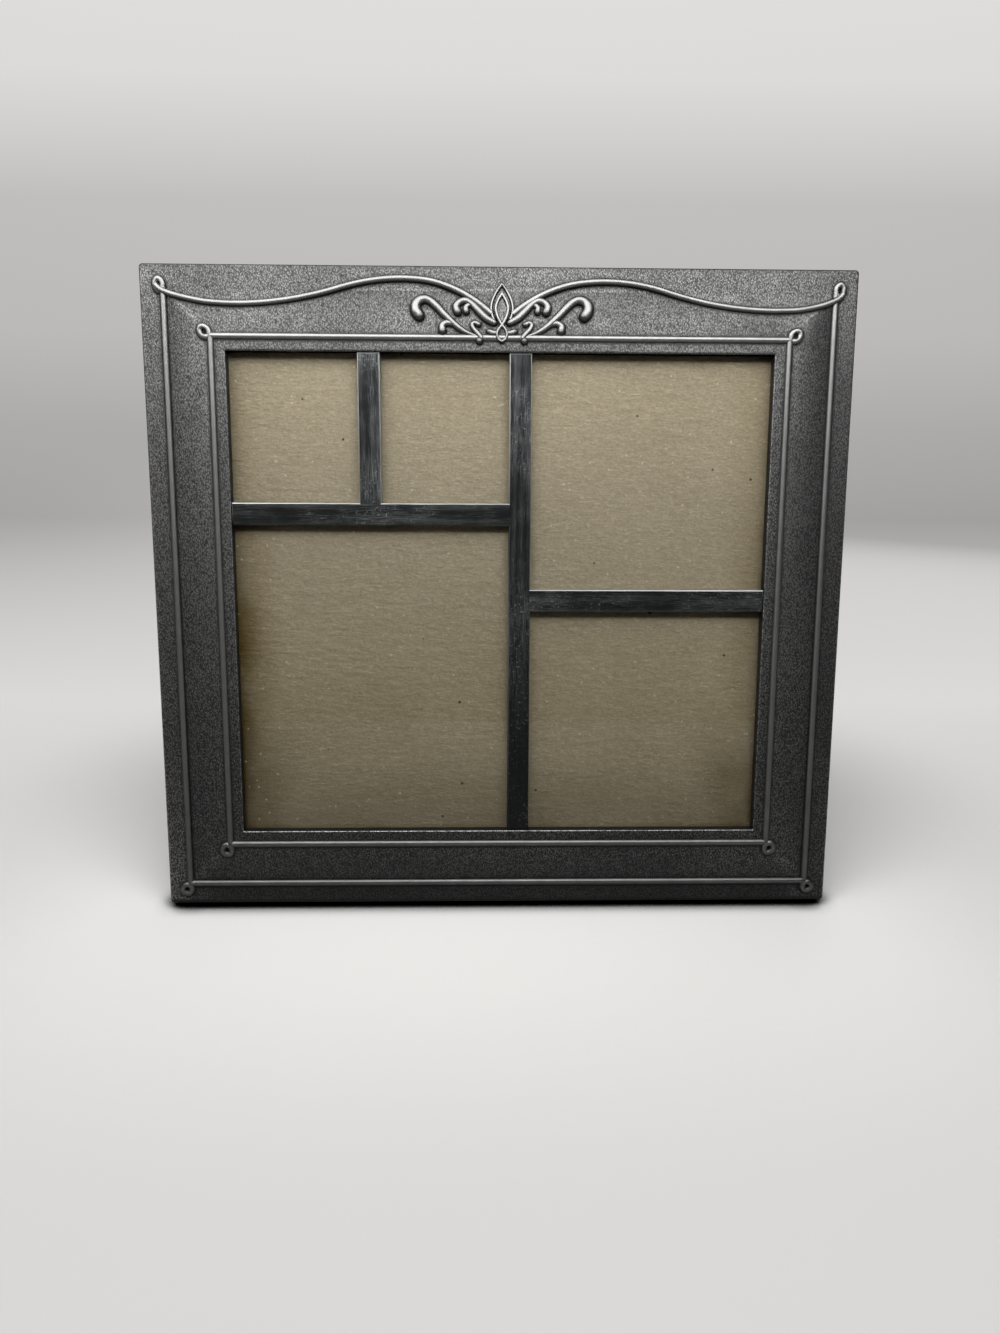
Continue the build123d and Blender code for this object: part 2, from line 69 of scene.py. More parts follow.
# One socket of a node tree; sums on it add Math nodes, and node() adds any other node
class Flow:
    def __init__(self, tree, socket=None):
        self.tree = tree
        self.socket = socket

    def pick(self, sockets, key):
        if isinstance(key, int):
            return sockets[key]
        return next(s for s in sockets if key in (s.identifier, s.name))

    def node(self, kind, settings=None, values=None, output=0):
        made = self.tree.nodes.new(kind)
        for name, value in (settings or {}).items():
            if name == "stops":
                ramp = made.color_ramp
                while len(ramp.elements) < len(value):
                    ramp.elements.new(1.0)
                for element, (place, colour) in zip(ramp.elements, value):
                    element.position = place
                    element.color = (*colour, 1.0)
            else:
                setattr(made, name, value)
        for key, value in (values or {}).items():
            socket = self.pick(made.inputs, key)
            if isinstance(value, Flow):
                self.tree.links.new(value.socket, socket)
            else:
                socket.default_value = value
        return Flow(self.tree, self.pick(made.outputs, output))

    def maths(self, operation, first, second=0.0, clamp=False):
        settings = {"operation": operation, "use_clamp": clamp}
        return self.node("ShaderNodeMath", settings, {0: first, 1: second})

    def __add__(self, other):
        return self.maths("ADD", self, other)

    def __radd__(self, other):
        return self.maths("ADD", other, self)

    def __sub__(self, other):
        return self.maths("SUBTRACT", self, other)

    def __rsub__(self, other):
        return self.maths("SUBTRACT", other, self)

    def __mul__(self, other):
        return self.maths("MULTIPLY", self, other)

    def __rmul__(self, other):
        return self.maths("MULTIPLY", other, self)

    def __truediv__(self, other):
        return self.maths("DIVIDE", self, other)

    def __pow__(self, other):
        return self.maths("POWER", self, other)

    def clamped(self):
        return self.maths("ADD", self, 0.0, True)

    def larger(self, other):
        return self.maths("MAXIMUM", self, other)

    def absolute(self):
        return self.maths("ABSOLUTE", self)

    def between(self, low, high, start=0.0, end=1.0):
        settings = {"interpolation_type": "SMOOTHSTEP"}
        values = {"Value": self, "From Min": low, "From Max": high, "To Min": start, "To Max": end}
        return self.node("ShaderNodeMapRange", settings, values)

    # Mix of two colours by this share
    def blend(self, first, second):
        first, second = (c if isinstance(c, Flow) else (*c, 1.0) for c in (first, second))
        values = {"Factor_Float": self, "A_Color": first, "B_Color": second}
        return self.node("ShaderNodeMix", {"data_type": "RGBA"}, values, "Result_Color")

    # Mix of two surfaces by this share
    def mixed(self, first, second):
        return self.node("ShaderNodeMixShader", None, {0: self, 1: first, 2: second})

    def noise(self, scale, detail=3.0, roughness=0.5, stretch=None):
        place = self
        if stretch:
            place = self.node("ShaderNodeVectorMath", {"operation": "MULTIPLY"}, {0: self, 1: stretch})
        values = {"Vector": place, "Scale": scale, "Detail": detail, "Roughness": roughness}
        return self.node("ShaderNodeTexNoise", None, values)

    def cells(self, scale, output="Distance"):
        return self.node("ShaderNodeTexVoronoi", None, {"Vector": self, "Scale": scale}, output)

    # Scattered dots: the few cells that one channel of their random colour picks
    def dots(self, scale, axis, picked, reach):
        chosen = self.cells(scale, "Color").channel(axis).between(*picked)
        return (1.0 - self.cells(scale).between(*reach)) * chosen

    def ramp(self, stops):
        return self.node("ShaderNodeValToRGB", {"stops": stops}, {"Fac": self})

    def bump(self, strength, depth):
        values = {"Strength": strength, "Distance": depth, "Height": self}
        return self.node("ShaderNodeBump", None, values)

    def channel(self, axis):
        return self.node("ShaderNodeSeparateXYZ", None, {"Vector": self}, axis)

    def vector(self, **parts):
        return self.node("ShaderNodeCombineXYZ", None, parts)

    def surface(self, values):
        return self.node("ShaderNodeBsdfPrincipled", None, values)

    def moved(self, **changes):
        return self.node("GeometryNodeTransform", None, {"Geometry": self, **changes})

    def stored(self, name, kind="FLOAT"):
        return self.node("GeometryNodeInputNamedAttribute", {"data_type": kind}, {"Name": name}, "Attribute")


# A new material and the flow that its nodes start from
def newMaterial(name):
    material = bpy.data.materials.new(name)
    material.use_nodes = True
    material.node_tree.nodes.clear()
    return material, Flow(material.node_tree)


def finishMaterial(material, surface):
    output = surface.tree.nodes.new("ShaderNodeOutputMaterial")
    surface.tree.links.new(surface.socket, output.inputs["Surface"])
    return material


def objectPlace(flow):
    return flow.node("ShaderNodeTexCoord", None, None, "Object")


# Object coordinates turned so that X and Y lie in the leaning face and Z points out of it
def facePlace(flow):
    turn = (-(math.pi / 2 - leanAngle), 0.0, 0.0)
    return flow.node("ShaderNodeMapping", None, {"Vector": objectPlace(flow), "Rotation": turn})


def attributeOf(flow, name):
    return flow.node("ShaderNodeAttribute", {"attribute_name": name}, None, "Fac")


# Black painted shade for walls that face down into shade
paintedShade = {"colour": (0.0012, 0.0012, 0.0012), "rough": 0.95, "lift": -0.4}


# A surface that falls to dull black, painted shade, where its lift is below nothing
def withPaintedShade(flow, surface, lift):
    black = flow.surface({
        "Base Color": (*paintedShade["colour"], 1.0),
        "Roughness": paintedShade["rough"],
        "Specular IOR Level": 0.0,
    })
    return (1.0 - lift.between(paintedShade["lift"], 0.0)).mixed(surface, black)


# Noise is given as scale, detail, roughness and stretch, heights up the face in metres
pewterFinish = {
    "grain": 2300.0, "grainTurn": 0.6, "grainStretch": (1.0, 0.62, 1.0), "grainSoft": 0.4,
    "grainDepth": 0.00007, "grainTop": 0.46, "grainLow": 0.3, "grainFade": (0.1, 0.2),
    "fine": (5200.0, 2.0), "fineShare": 0.06, "fineHeight": 0.1, "fineRough": 0.08,
    "rub": (260.0, 3.0, 0.6), "rubShare": 0.12, "rubHeight": 0.2,
    "tarnish": (22.0, 4.0, 0.62), "tarnishAll": 0.06, "tarnishGround": 0.14,
    "lowPaintedShade": 0.16, "lowReach": 0.1,
    "metallicSpan": (0.05, 0.5), "metallic": (0.7, 1.0), "rough": (0.54, 0.36), "bump": 0.5,
    "stops": [
        (0.0, (0.004, 0.004, 0.0042)),
        (0.25, (0.0165, 0.0165, 0.0165)),
        (0.48, (0.057, 0.057, 0.056)),
        (0.72, (0.17, 0.17, 0.167)),
        (1.0, (0.43, 0.428, 0.42)),
    ],
}


# Antique pewter: dark patina in the hollows, rubbed metal on what stands proud, pebbled ground; painted
# shade towards the bottom, and black painted shade where the lift falls below nothing
def pewterMaterial():
    finish = pewterFinish
    material, flow = newMaterial("antiquePewter")
    place = facePlace(flow)
    up = place.channel("Y")
    lift, plain = attributeOf(flow, "lift"), attributeOf(flow, "plain")
    pebbled = 1.0 - plain
    values = {"Vector": place, "Rotation": (0.0, 0.0, finish["grainTurn"]), "Scale": finish["grainStretch"]}
    slant = flow.node("ShaderNodeMapping", None, values)
    values = {"Vector": slant, "Scale": finish["grain"], "Smoothness": finish["grainSoft"]}
    grain = 1.0 - flow.node("ShaderNodeTexVoronoi", {"feature": "SMOOTH_F1"}, values)
    fine, rub, tarnish = (place.noise(*finish[name]) for name in ("fine", "rub", "tarnish"))
    contrast = finish["grainTop"] + (1.0 - up.between(*finish["grainFade"])) * finish["grainLow"]
    patches = finish["tarnishAll"] + finish["tarnishGround"] * pebbled
    worn = lift + (grain - 0.5) * contrast * pebbled + (tarnish - 0.5) * patches
    worn = worn + (rub - 0.5) * finish["rubShare"] + (fine - 0.5) * finish["fineShare"]
    # Painted shade: the metal darkens towards the bottom of the frame
    low = 1.0 - up.between(0.0, finish["lowReach"])
    worn = (worn - low * finish["lowPaintedShade"]).clamped()
    height = grain * pebbled + fine * finish["fineHeight"] + rub * finish["rubHeight"] * plain
    metal = flow.surface({
        "Base Color": worn.ramp(finish["stops"]),
        "Metallic": worn.between(*finish["metallicSpan"], *finish["metallic"]),
        "Roughness": worn.between(0.0, 1.0, *finish["rough"]) + (fine - 0.5) * finish["fineRough"],
        "Normal": height.bump(finish["bump"], finish["grainDepth"]),
    })
    return finishMaterial(material, withPaintedShade(flow, metal, lift))


# Strokes, hair and bands are stretched along the bar, per millimetre
barFinish = {
    "dark": (0.0098, 0.0105, 0.0108), "bright": (0.155, 0.163, 0.163),
    "chalk": (0.21, 0.217, 0.212), "arris": (0.42, 0.425, 0.43),
    "strokes": (1.0, 5.0, 0.65, (0.16, 5.5, 1.0)), "strokeSpan": (0.4, 0.7), "strokeHeight": 0.5,
    "hair": (1.0, 3.0, 0.6, (0.5, 26.0, 1.0)), "hairShare": 0.5,
    "bands": (1.0, 2.0, 0.5, (0.022, 0.4, 1.0)), "bandShare": 0.9,
    "cloud": (42.0, 4.0, 0.6), "cloudSpan": (0.28, 0.72), "arrisShare": 0.85,
    "rub": (1100.0, 3.0, 0.6), "rubSpan": (0.56, 0.72), "rubCloud": (0.42, 0.6), "rubShare": 0.7,
    "lowFade": (0.045, 0.12), "lowShadeShare": 0.95, "lowRub": 0.5,
    "metallic": 0.9, "rough": 0.3, "hairRough": 0.22, "rubRough": 0.14, "bump": 0.3, "depth": 0.00003,
}


# Smooth bars, brushed along their length, with chalky rubs; painted shade low down and on downward faces,
# painted highlights on upward arrises
def barMaterial():
    finish = barFinish
    material, flow = newMaterial("brushedBar")
    along = flow.node("ShaderNodeUVMap", {"uv_map": "along"}, None, "UV")
    place = facePlace(flow)
    edge = attributeOf(flow, "lift")
    strokes, hair, bands = (along.noise(*finish[name]) for name in ("strokes", "hair", "bands"))
    cloud = place.noise(*finish["cloud"])
    sheen = strokes.between(*finish["strokeSpan"]) * cloud.between(*finish["cloudSpan"])
    sheen = sheen + (hair - 0.5) * finish["hairShare"] + (bands - 0.5) * finish["bandShare"]
    shade = sheen.clamped().blend(finish["dark"], finish["bright"])
    # Painted shade: the bars darken towards the bottom
    low = 1.0 - place.channel("Y").between(*finish["lowFade"])
    shade = (low * finish["lowShadeShare"]).blend(shade, finish["dark"])
    rubs = place.noise(*finish["rub"]).between(*finish["rubSpan"])
    rubs = rubs * cloud.between(*finish["rubCloud"]) * (1.0 - low * finish["lowRub"])
    shade = (rubs * finish["rubShare"]).blend(shade, finish["chalk"])
    shade = (edge * finish["arrisShare"]).clamped().blend(shade, finish["arris"])
    metal = flow.surface({
        "Base Color": shade,
        "Metallic": finish["metallic"],
        "Roughness": finish["rough"] + finish["hairRough"] * hair + finish["rubRough"] * rubs,
        "Normal": (strokes * finish["strokeHeight"] + hair).bump(finish["bump"], finish["depth"]),
    })
    return finishMaterial(material, withPaintedShade(flow, metal, edge))


glassFinish = {
    "film": (0.85, 0.88, 0.87), "filmShare": 0.85, "tint": (0.95, 0.965, 0.955), "index": 1.45,
    "smear": (36.0, 4.0, 0.6), "smearSpan": (0.55, 0.8), "smearShare": 0.012,
    "rough": 0.02, "roughSpan": (0.45, 0.75), "smearRough": 0.03,
}


# Window glass: the light goes straight through, with a mirror film over it
def glassMaterial():
    finish = glassFinish
    material, flow = newMaterial("windowGlass")
    smear = facePlace(flow).noise(*finish["smear"])
    mirror = flow.surface({
        "Base Color": (*finish["film"], 1.0),
        "Metallic": 1.0,
        "Roughness": finish["rough"] + finish["smearRough"] * smear.between(*finish["roughSpan"]),
    })
    clear = flow.node("ShaderNodeBsdfTransparent", None, {"Color": (*finish["tint"], 1.0)})
    share = flow.node("ShaderNodeFresnel", None, {"IOR": finish["index"]}) * finish["filmShare"]
    share = share + smear.between(*finish["smearSpan"]) * finish["smearShare"]
    return finishMaterial(material, share.mixed(clear, mirror))


# Dots are given as scale, colour channel, the range that picks them and their size
boardFinish = {
    "board": (0.39, 0.326, 0.234), "fibre": (0.56, 0.493, 0.387), "dark": (0.243, 0.197, 0.131),
    "stain": (0.112, 0.069, 0.003), "fleck": (0.035, 0.028, 0.02),
    "lowLight": (1.15, 1.14, 1.05), "lowLightFade": (0.05, 0.125),
    "fibres": (1500.0, 3.0, 0.6, (0.3, 1.0, 1.0)), "fibreSpan": (0.5, 0.78), "fibreShare": 0.5,
    "pulp": (1350.0, 4.0, 0.7, (0.85, 1.0, 1.0)), "pulpSpan": (0.32, 0.68), "pulpShare": 0.52,
    "ripple": (400.0, 3.0, 0.55, (0.42, 1.0, 1.0)), "rippleSpan": (0.32, 0.68), "rippleShare": 0.12,
    "cloud": (30.0, 4.0, 0.6), "cloudSpan": (0.3, 0.7), "cloudShare": 0.16, "leastShade": 0.18,
    "flecks": (150.0, "X", (0.8, 0.84), (0.04, 0.1)),
    "chips": (420.0, "Y", (0.8, 0.86), (0.06, 0.22)), "chipShare": 0.8,
    "rough": 0.78, "fibreRough": 0.16, "fibreHeight": 0.6, "rippleHeight": 3.6,
    "bump": 0.9, "depth": 0.0002,
}
# Damp on the board, in metres: the window block's edge, and how far it creeps in from there
damp = {
    "edge": 0.0907, "reach": 0.02, "past": 0.001, "fall": 1.6,
    "middle": (-0.02, 0.02), "rightSpared": 0.55, "upper": (0.125, 0.145), "upperSpared": 0.68,
    "foot": (0.026, 0.05), "footShare": 0.42,
    "cornerAcross": (0.06, 0.088), "cornerUp": (0.04, 0.075), "cornerShare": 0.8,
    "even": 0.45, "patchy": 0.55, "patches": (0.32, 0.62),
}


# Share of the damp stain: from the sides, most at the left and low down, from the foot and its corners
def dampStain(place, cloud):
    right, up = place.channel("X"), place.channel("Y")
    across = right.absolute()
    spared = right.between(*damp["middle"]) * damp["rightSpared"]
    spared = spared.larger(up.between(*damp["upper"]) * damp["upperSpared"])
    side = across.between(damp["edge"] - damp["reach"], damp["edge"] + damp["past"]) ** damp["fall"]
    side = side * (1.0 - spared)
    foot = (1.0 - up.between(*damp["foot"])) * damp["footShare"]
    corner = across.between(*damp["cornerAcross"]) * (1.0 - up.between(*damp["cornerUp"]))
    creep = damp["even"] + damp["patchy"] * cloud.between(*damp["patches"])
    return (side.larger(foot).larger(corner * damp["cornerShare"]) * creep).clamped()


# Grey-tan chipboard: short fibres lying across, flecks, damp stains creeping in from the sides, and painted
# light that brightens it low down
def boardMaterial():
    finish = boardFinish
    material, flow = newMaterial("chipboard")
    place = facePlace(flow)
    # Painted light: the colours brighten towards the bottom
    lowLit = 1.0 - place.channel("Y").between(*finish["lowLightFade"])
    tones = {}
    for name in ("board", "fibre", "dark"):
        brightened = [c * k for c, k in zip(finish[name], finish["lowLight"])]
        tones[name] = lowLit.blend(finish[name], brightened)
    names = ("fibres", "pulp", "ripple", "cloud")
    fibre, pulp, ripple, cloud = (place.noise(*finish[name]) for name in names)
    shade = finish["leastShade"]
    for name, noise in (("pulp", pulp), ("ripple", ripple), ("cloud", cloud)):
        shade = shade + noise.between(*finish[name + "Span"]) * finish[name + "Share"]
    shade = shade.clamped().blend(tones["dark"], tones["board"])
    shade = (fibre.between(*finish["fibreSpan"]) * finish["fibreShare"]).blend(shade, tones["fibre"])
    shade = dampStain(place, cloud).blend(shade, finish["stain"])
    shade = place.dots(*finish["flecks"]).blend(shade, finish["fleck"])
    shade = (place.dots(*finish["chips"]) * finish["chipShare"]).blend(shade, tones["fibre"])
    height = fibre * finish["fibreHeight"] + pulp + ripple * finish["rippleHeight"]
    return finishMaterial(material, flow.surface({
        "Base Color": shade,
        "Roughness": finish["rough"] + finish["fibreRough"] * fibre,
        "Normal": height.bump(finish["bump"], finish["depth"]),
    }))


velvetFinish = {
    "nap": (0.011, 0.011, 0.012), "brushed": (0.032, 0.032, 0.034), "lint": (0.1, 0.1, 0.098),
    "pile": (2600.0, 3.0, 0.7), "pileShare": 0.6, "pileDepth": 0.00015,
    "strokes": (34.0, 4.0, 0.6, (1.0, 1.0, 0.4)), "strokeSpan": (0.4, 0.66), "strokeShare": 0.8,
    "lintDots": (170.0, "Z", (0.93, 0.95), (0.02, 0.07)), "lintShare": 0.6,
    "rough": 0.82, "pileRough": 0.16, "specular": 0.2, "bump": 0.6,
    "sheen": 0.35, "sheenRough": 0.45, "sheenTint": (0.55, 0.55, 0.58),
}


# Black flocked velvet with brushed patches and a little lint
def velvetMaterial():
    finish = velvetFinish
    material, flow = newMaterial("blackVelvet")
    place = objectPlace(flow)
    pile, strokes = place.noise(*finish["pile"]), place.noise(*finish["strokes"])
    shade = strokes.between(*finish["strokeSpan"]) * finish["strokeShare"]
    shade = (shade + (pile - 0.5) * finish["pileShare"]).clamped().blend(finish["nap"], finish["brushed"])
    shade = (place.dots(*finish["lintDots"]) * finish["lintShare"]).blend(shade, finish["lint"])
    return finishMaterial(material, flow.surface({
        "Base Color": shade,
        "Roughness": finish["rough"] + finish["pileRough"] * pile,
        "Specular IOR Level": finish["specular"],
        "Sheen Weight": finish["sheen"],
        "Sheen Roughness": finish["sheenRough"],
        "Sheen Tint": (*finish["sheenTint"], 1.0),
        "Normal": pile.bump(finish["bump"], finish["pileDepth"]),
    }))


steelFinishes = {
    "hingeSteel": {"colour": (0.50, 0.50, 0.49), "rough": 0.3, "stretch": (0.03, 1.0, 1.0), "rust": 0.25},
    "pinSteel": {"colour": (0.46, 0.46, 0.46), "rough": 0.26, "stretch": (1.0, 0.05, 0.05), "rust": 0.1},
    "rivetSteel": {"colour": (0.56, 0.55, 0.53), "rough": 0.24, "stretch": None, "rust": 0.1},
    "screwSteel": {"colour": (0.50, 0.49, 0.46), "rough": 0.3, "stretch": None, "rust": 0.2},
    "clipSteel": {"colour": (0.42, 0.425, 0.43), "rough": 0.34, "stretch": (0.04, 1.0, 1.0), "rust": 0.35},
}
steelWear = {
    "lines": (3800.0, 3.0, 0.6), "lineShare": 0.6, "lineRough": 0.08, "bump": 0.25, "lineDepth": 0.00002,
    "dull": (120.0, 4.0, 0.6), "dullSpan": (0.35, 0.7), "dullShare": 0.5, "dullRough": 0.16, "shadow": 0.62,
    "rust": (330.0, 5.0, 0.7), "rustSpan": (0.6, 0.76), "rustDull": (0.5, 0.66),
    "rustColour": (0.14, 0.062, 0.03), "rustRough": 0.3, "rustBare": 0.8,
}


# Rolled steel: fine lines one way, dull patches and a trace of rust
def steelMaterial(name):
    finish, wear = steelFinishes[name], steelWear
    material, flow = newMaterial(name)
    place = facePlace(flow)
    lines = place.noise(*wear["lines"], finish["stretch"])
    dull = place.noise(*wear["dull"])
    rust = place.noise(*wear["rust"]).between(*wear["rustSpan"])
    rust = rust * dull.between(*wear["rustDull"]) * finish["rust"]
    shadow = [wear["shadow"] * c for c in finish["colour"]]
    shade = lines * wear["lineShare"] + dull.between(*wear["dullSpan"]) * wear["dullShare"]
    shade = shade.clamped().blend(shadow, finish["colour"])
    rough = finish["rough"] + wear["dullRough"] * dull + wear["rustRough"] * rust
    return finishMaterial(material, flow.surface({
        "Base Color": rust.blend(shade, wear["rustColour"]),
        "Metallic": (1.0 - rust * wear["rustBare"]).clamped(),
        "Roughness": rough + wear["lineRough"] * lines,
        "Normal": lines.bump(wear["bump"], wear["lineDepth"]),
    }))


pewter, brushedBar, velvet = pewterMaterial(), barMaterial(), velvetMaterial()
steels = {name: steelMaterial(name) for name in steelFinishes}
nodeFinishes = {
    "glass_pane": glassMaterial(),
    "filler_board": boardMaterial(),
    "hinge_back_leaf": steels["hingeSteel"],
    "hinge_leg_leaf": steels["hingeSteel"],
    "hinge_pin": steels["pinSteel"],
    "back_leaf_rivets": steels["rivetSteel"],
    "leg_leaf_rivets": steels["rivetSteel"],
}
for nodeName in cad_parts:
    if nodeName.startswith("turn_clip"):
        nodeFinishes[nodeName] = steels["clipSteel"]
for nodeName, material in nodeFinishes.items():
    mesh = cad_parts[nodeName].data
    mesh.materials.clear()
    mesh.materials.append(material)
print("materials made:", len(bpy.data.materials))


def newPiece(name, points=(), faces=(), edges=()):
    mesh = bpy.data.meshes.new(name)
    mesh.from_pydata([tuple(p) for p in points], [tuple(e) for e in edges], [tuple(f) for f in faces])
    mesh.update()
    piece = bpy.data.objects.new(name, mesh)
    bpy.context.scene.collection.objects.link(piece)
    return piece


def setPoints(piece, name, values, kind="FLOAT"):
    attribute = piece.data.attributes.new(name, kind, "POINT")
    key = "vector" if kind == "FLOAT_VECTOR" else "value"
    attribute.data.foreach_set(key, np.asarray(values, np.float32).ravel())


def setSmooth(piece, smooth=True):
    piece.data.polygons.foreach_set("use_smooth", [smooth] * len(piece.data.polygons))


# Runs a node tree on a piece and keeps the result as a plain mesh
def settle(piece, tree, inputs):
    modifier = piece.modifiers.new(tree.name, "NODES")
    modifier.node_group = tree
    for name, value in inputs.items():
        socket = next(s for s in tree.interface.items_tree if s.name == name and s.in_out == "INPUT")
        modifier[socket.identifier] = value
    graph = bpy.context.evaluated_depsgraph_get()
    made = bpy.data.meshes.new_from_object(
        piece.evaluated_get(graph), preserve_all_data_layers=True, depsgraph=graph
    )
    raw = piece.data
    piece.modifiers.clear()
    piece.data = made
    made.name = piece.name
    bpy.data.meshes.remove(raw)


# A tree with named inputs: the tree, the flow its nodes start from and the flow of each input
def newTree(name, inputs):
    tree = bpy.data.node_groups.new(name, "GeometryNodeTree")
    tree.interface.new_socket("Geometry", in_out="INPUT", socket_type="NodeSocketGeometry")
    for inputName, kind in inputs.items():
        tree.interface.new_socket(inputName, in_out="INPUT", socket_type="NodeSocket" + kind)
    tree.interface.new_socket("Geometry", in_out="OUTPUT", socket_type="NodeSocketGeometry")
    group = tree.nodes.new("NodeGroupInput")
    return tree, Flow(tree), {s.name: Flow(tree, s) for s in group.outputs if s.name}


# One copy of a shape at each of the piece's points, made real
def atPoints(flow, flows, shape, **changes):
    values = {"Points": flows["Geometry"], "Instance": shape, **changes}
    made = flow.node("GeometryNodeInstanceOnPoints", None, values)
    return flow.node("GeometryNodeRealizeInstances", None, {"Geometry": made})


# Cloths and fingers rub what faces forward; the upward lean of this way paints light from above on the upper
# sides; the range of facing runs from foot to crest
wearAndToplight = {"upward": 0.42, "facing": (0.05, 0.98)}
wornAndLitWay = faceOut + wearAndToplight["upward"] * faceUp
wornAndLitWay = wornAndLitWay / np.linalg.norm(wornAndLitWay)
liftInputs = {"Foot lift": "Float", "Crest lift": "Float", "Material": "Material"}


# Ends a tree: how far each point faces the worn and lit side becomes the lift (wear and painted light), then
# realized with its material
def endTree(tree, flows, geometry, plain=1.0):
    flow = Flow(tree)
    values = {0: flow.node("GeometryNodeInputNormal"), 1: tuple(wornAndLitWay)}
    facing = flow.node("ShaderNodeVectorMath", {"operation": "DOT_PRODUCT"}, values, "Value")
    lift = facing.between(*wearAndToplight["facing"], flows["Foot lift"], flows["Crest lift"])
    for name, value in (("lift", lift), ("plain", plain)):
        values = {"Geometry": geometry, "Name": name, "Value": value}
        geometry = flow.node("GeometryNodeStoreNamedAttribute", {"data_type": "FLOAT"}, values)
    geometry = flow.node("GeometryNodeSetShadeSmooth", None, {"Geometry": geometry})
    geometry = flow.node("GeometryNodeRealizeInstances", None, {"Geometry": geometry})
    values = {"Geometry": geometry, "Material": flows["Material"]}
    geometry = flow.node("GeometryNodeSetMaterial", None, values)
    output = tree.nodes.new("NodeGroupOutput")
    tree.links.new(geometry.socket, output.inputs[0])
    return tree


# A wire of cast metal along drawn runs; each point of a run carries its own radius
def wireTree():
    tree, flow, flows = newTree("castWire", {"Sides": "Int", **liftInputs})
    run = flow.node("GeometryNodeMeshToCurve", None, {"Mesh": flows["Geometry"]})
    values = {"Resolution": flows["Sides"], "Radius": 1.0}
    ring = flow.node("GeometryNodeCurvePrimitiveCircle", {"mode": "RADIUS"}, values)
    values = {"Curve": run, "Profile Curve": ring, "Scale": flow.stored("wireRadius"), "Fill Caps": True}
    return endTree(tree, flows, flow.node("GeometryNodeCurveToMesh", None, values))


# Round knobs at marked points, each with its own radius
def knobTree():
    tree, flow, flows = newTree("castKnob", {"Segments": "Int", "Rings": "Int", **liftInputs})
    values = {"Segments": flows["Segments"], "Rings": flows["Rings"], "Radius": 1.0}
    ball = flow.node("GeometryNodeMeshUVSphere", None, values)
    return endTree(tree, flows, atPoints(flow, flows, ball, Scale=flow.stored("wireRadius")))


# The casting in millimetres: insets in from the outline, levels forward of the rear rim
border = {
    "width": 237.6, "height": 220.2, "draft": 0.5, "edgeRound": 0.6, "edgeTuck": 0.05, "edgeRows": 6,
    "cornerRound": 1.2, "mitreRound": 0.35, "cornerPoints": 5, "wallRows": (2.4, 4.6, 6.8),
    "outerBead": 8.1, "innerBead": 23.4, "beadHalf": 0.2, "window": 28.1, "arris": 0.4,
    "stripLevel": 9.3, "fieldLevel": 11.6, "innerLevel": 11.9,
    "glassLevel": 8.0, "seatLevel": 4.8, "channelLevel": 6.5,
    "rebate": 24.1, "rebateWall": 2.4, "rimWall": 2.4, "rimChamfer": 0.25,
    "along": 0.7, "rows": 0.55, "stripStart": 2.2, "stripRows": 9, "innerStart": 0.7, "innerRows": 9,
    "wave": 0.03, "waveSize": 2.3, "waveGrid": 64, "seed": 11,
    "frontFrom": 9.2, "rearPlain": 0.55, "sharpOver": 50.0,
}
# Lift along the section; the window's arris is eased by rows of in, down (both in arrises) and lift
borderLift = {
    "foot": (0.3, 0.34), "wall": 0.36, "edge": 0.5, "edgeWorn": 0.22, "strip": 0.47,
    "field": 0.42, "fieldInner": 0.1, "step": 0.4, "inner": 0.49,
    "arris": [(0.7, 0.12, 0.8), (0.3, 0.3, 0.95), (0.0, 1.0, 0.7), (0.0, 1.6, 0.2)],
    "rear": (0.1, 0.25, 0.3, 0.3, 0.22, 0.25, 0.32, 0.4, 0.42),
}
halfWidth, halfHeight = border["width"] / 2, border["height"] / 2
fieldWidth = border["innerBead"] - border["outerBead"]
fieldRise = border["fieldLevel"] - border["stripLevel"]


def inField(inset):
    return border["outerBead"] < inset < border["innerBead"]


# Level of the convex field at a distance in from the outline
def fieldAt(inset):
    share = np.clip((np.asarray(inset, float) - border["outerBead"]) / fieldWidth, 0.0, 1.0)
    return border["stripLevel"] + fieldRise * np.sin(share * math.pi / 2)


# Level of the relief over the sloping chord of the top field
def chordAt(drop, proud):
    share = (np.asarray(drop, float) - border["outerBead"]) / fieldWidth
    return border["stripLevel"] + fieldRise * share + proud


# Points of an arc that leaves a start along a level line and ends at a point
def levelArc(start, end, count):
    across, down = end[0] - start[0], end[1] - start[1]
    radius = (across * across + down * down) / (2 * down)
    sweep = math.atan2(abs(across), abs(radius - down))
    angles = np.linspace(0, sweep, count)
    side = math.copysign(1.0, across)
    u = start[0] + side * abs(radius) * np.sin(angles)
    return np.stack((u, start[1] + radius * (1 - np.cos(angles))), -1)


# A smooth run through given points; every column is carried along
def smoothRun(points, spacing=0.22):
    points = np.asarray(points, float)
    points = np.vstack((2 * points[0] - points[1], points, 2 * points[-1] - points[-2]))
    made = []
    for before, start, end, after in zip(points[:-3], points[1:-2], points[2:-1], points[3:]):
        pairs = ((before, start), (start, end), (end, after))
        first, middle, last = (max(np.linalg.norm(b[:2] - a[:2]), 1e-6) ** 0.5 for a, b in pairs)
        outOf = (start - before) / first - (end - before) / (first + middle) + (end - start) / middle
        into = (end - start) / middle - (after - start) / (middle + last) + (after - end) / last
        outOf, into = outOf * middle, into * middle
        count = max(2, int(np.linalg.norm(end[:2] - start[:2]) / spacing) + 1)
        for t in np.arange(count) / count:
            made.append((2 * t ** 3 - 3 * t ** 2 + 1) * start + (t ** 3 - 2 * t ** 2 + t) * outOf
                        + (3 * t ** 2 - 2 * t ** 3) * end + (t ** 3 - t ** 2) * into)
    made.append(points[-2])
    return np.asarray(made)


# Runs are collected in face millimetres as rows of across, up, forward and radius
wireRuns = {}


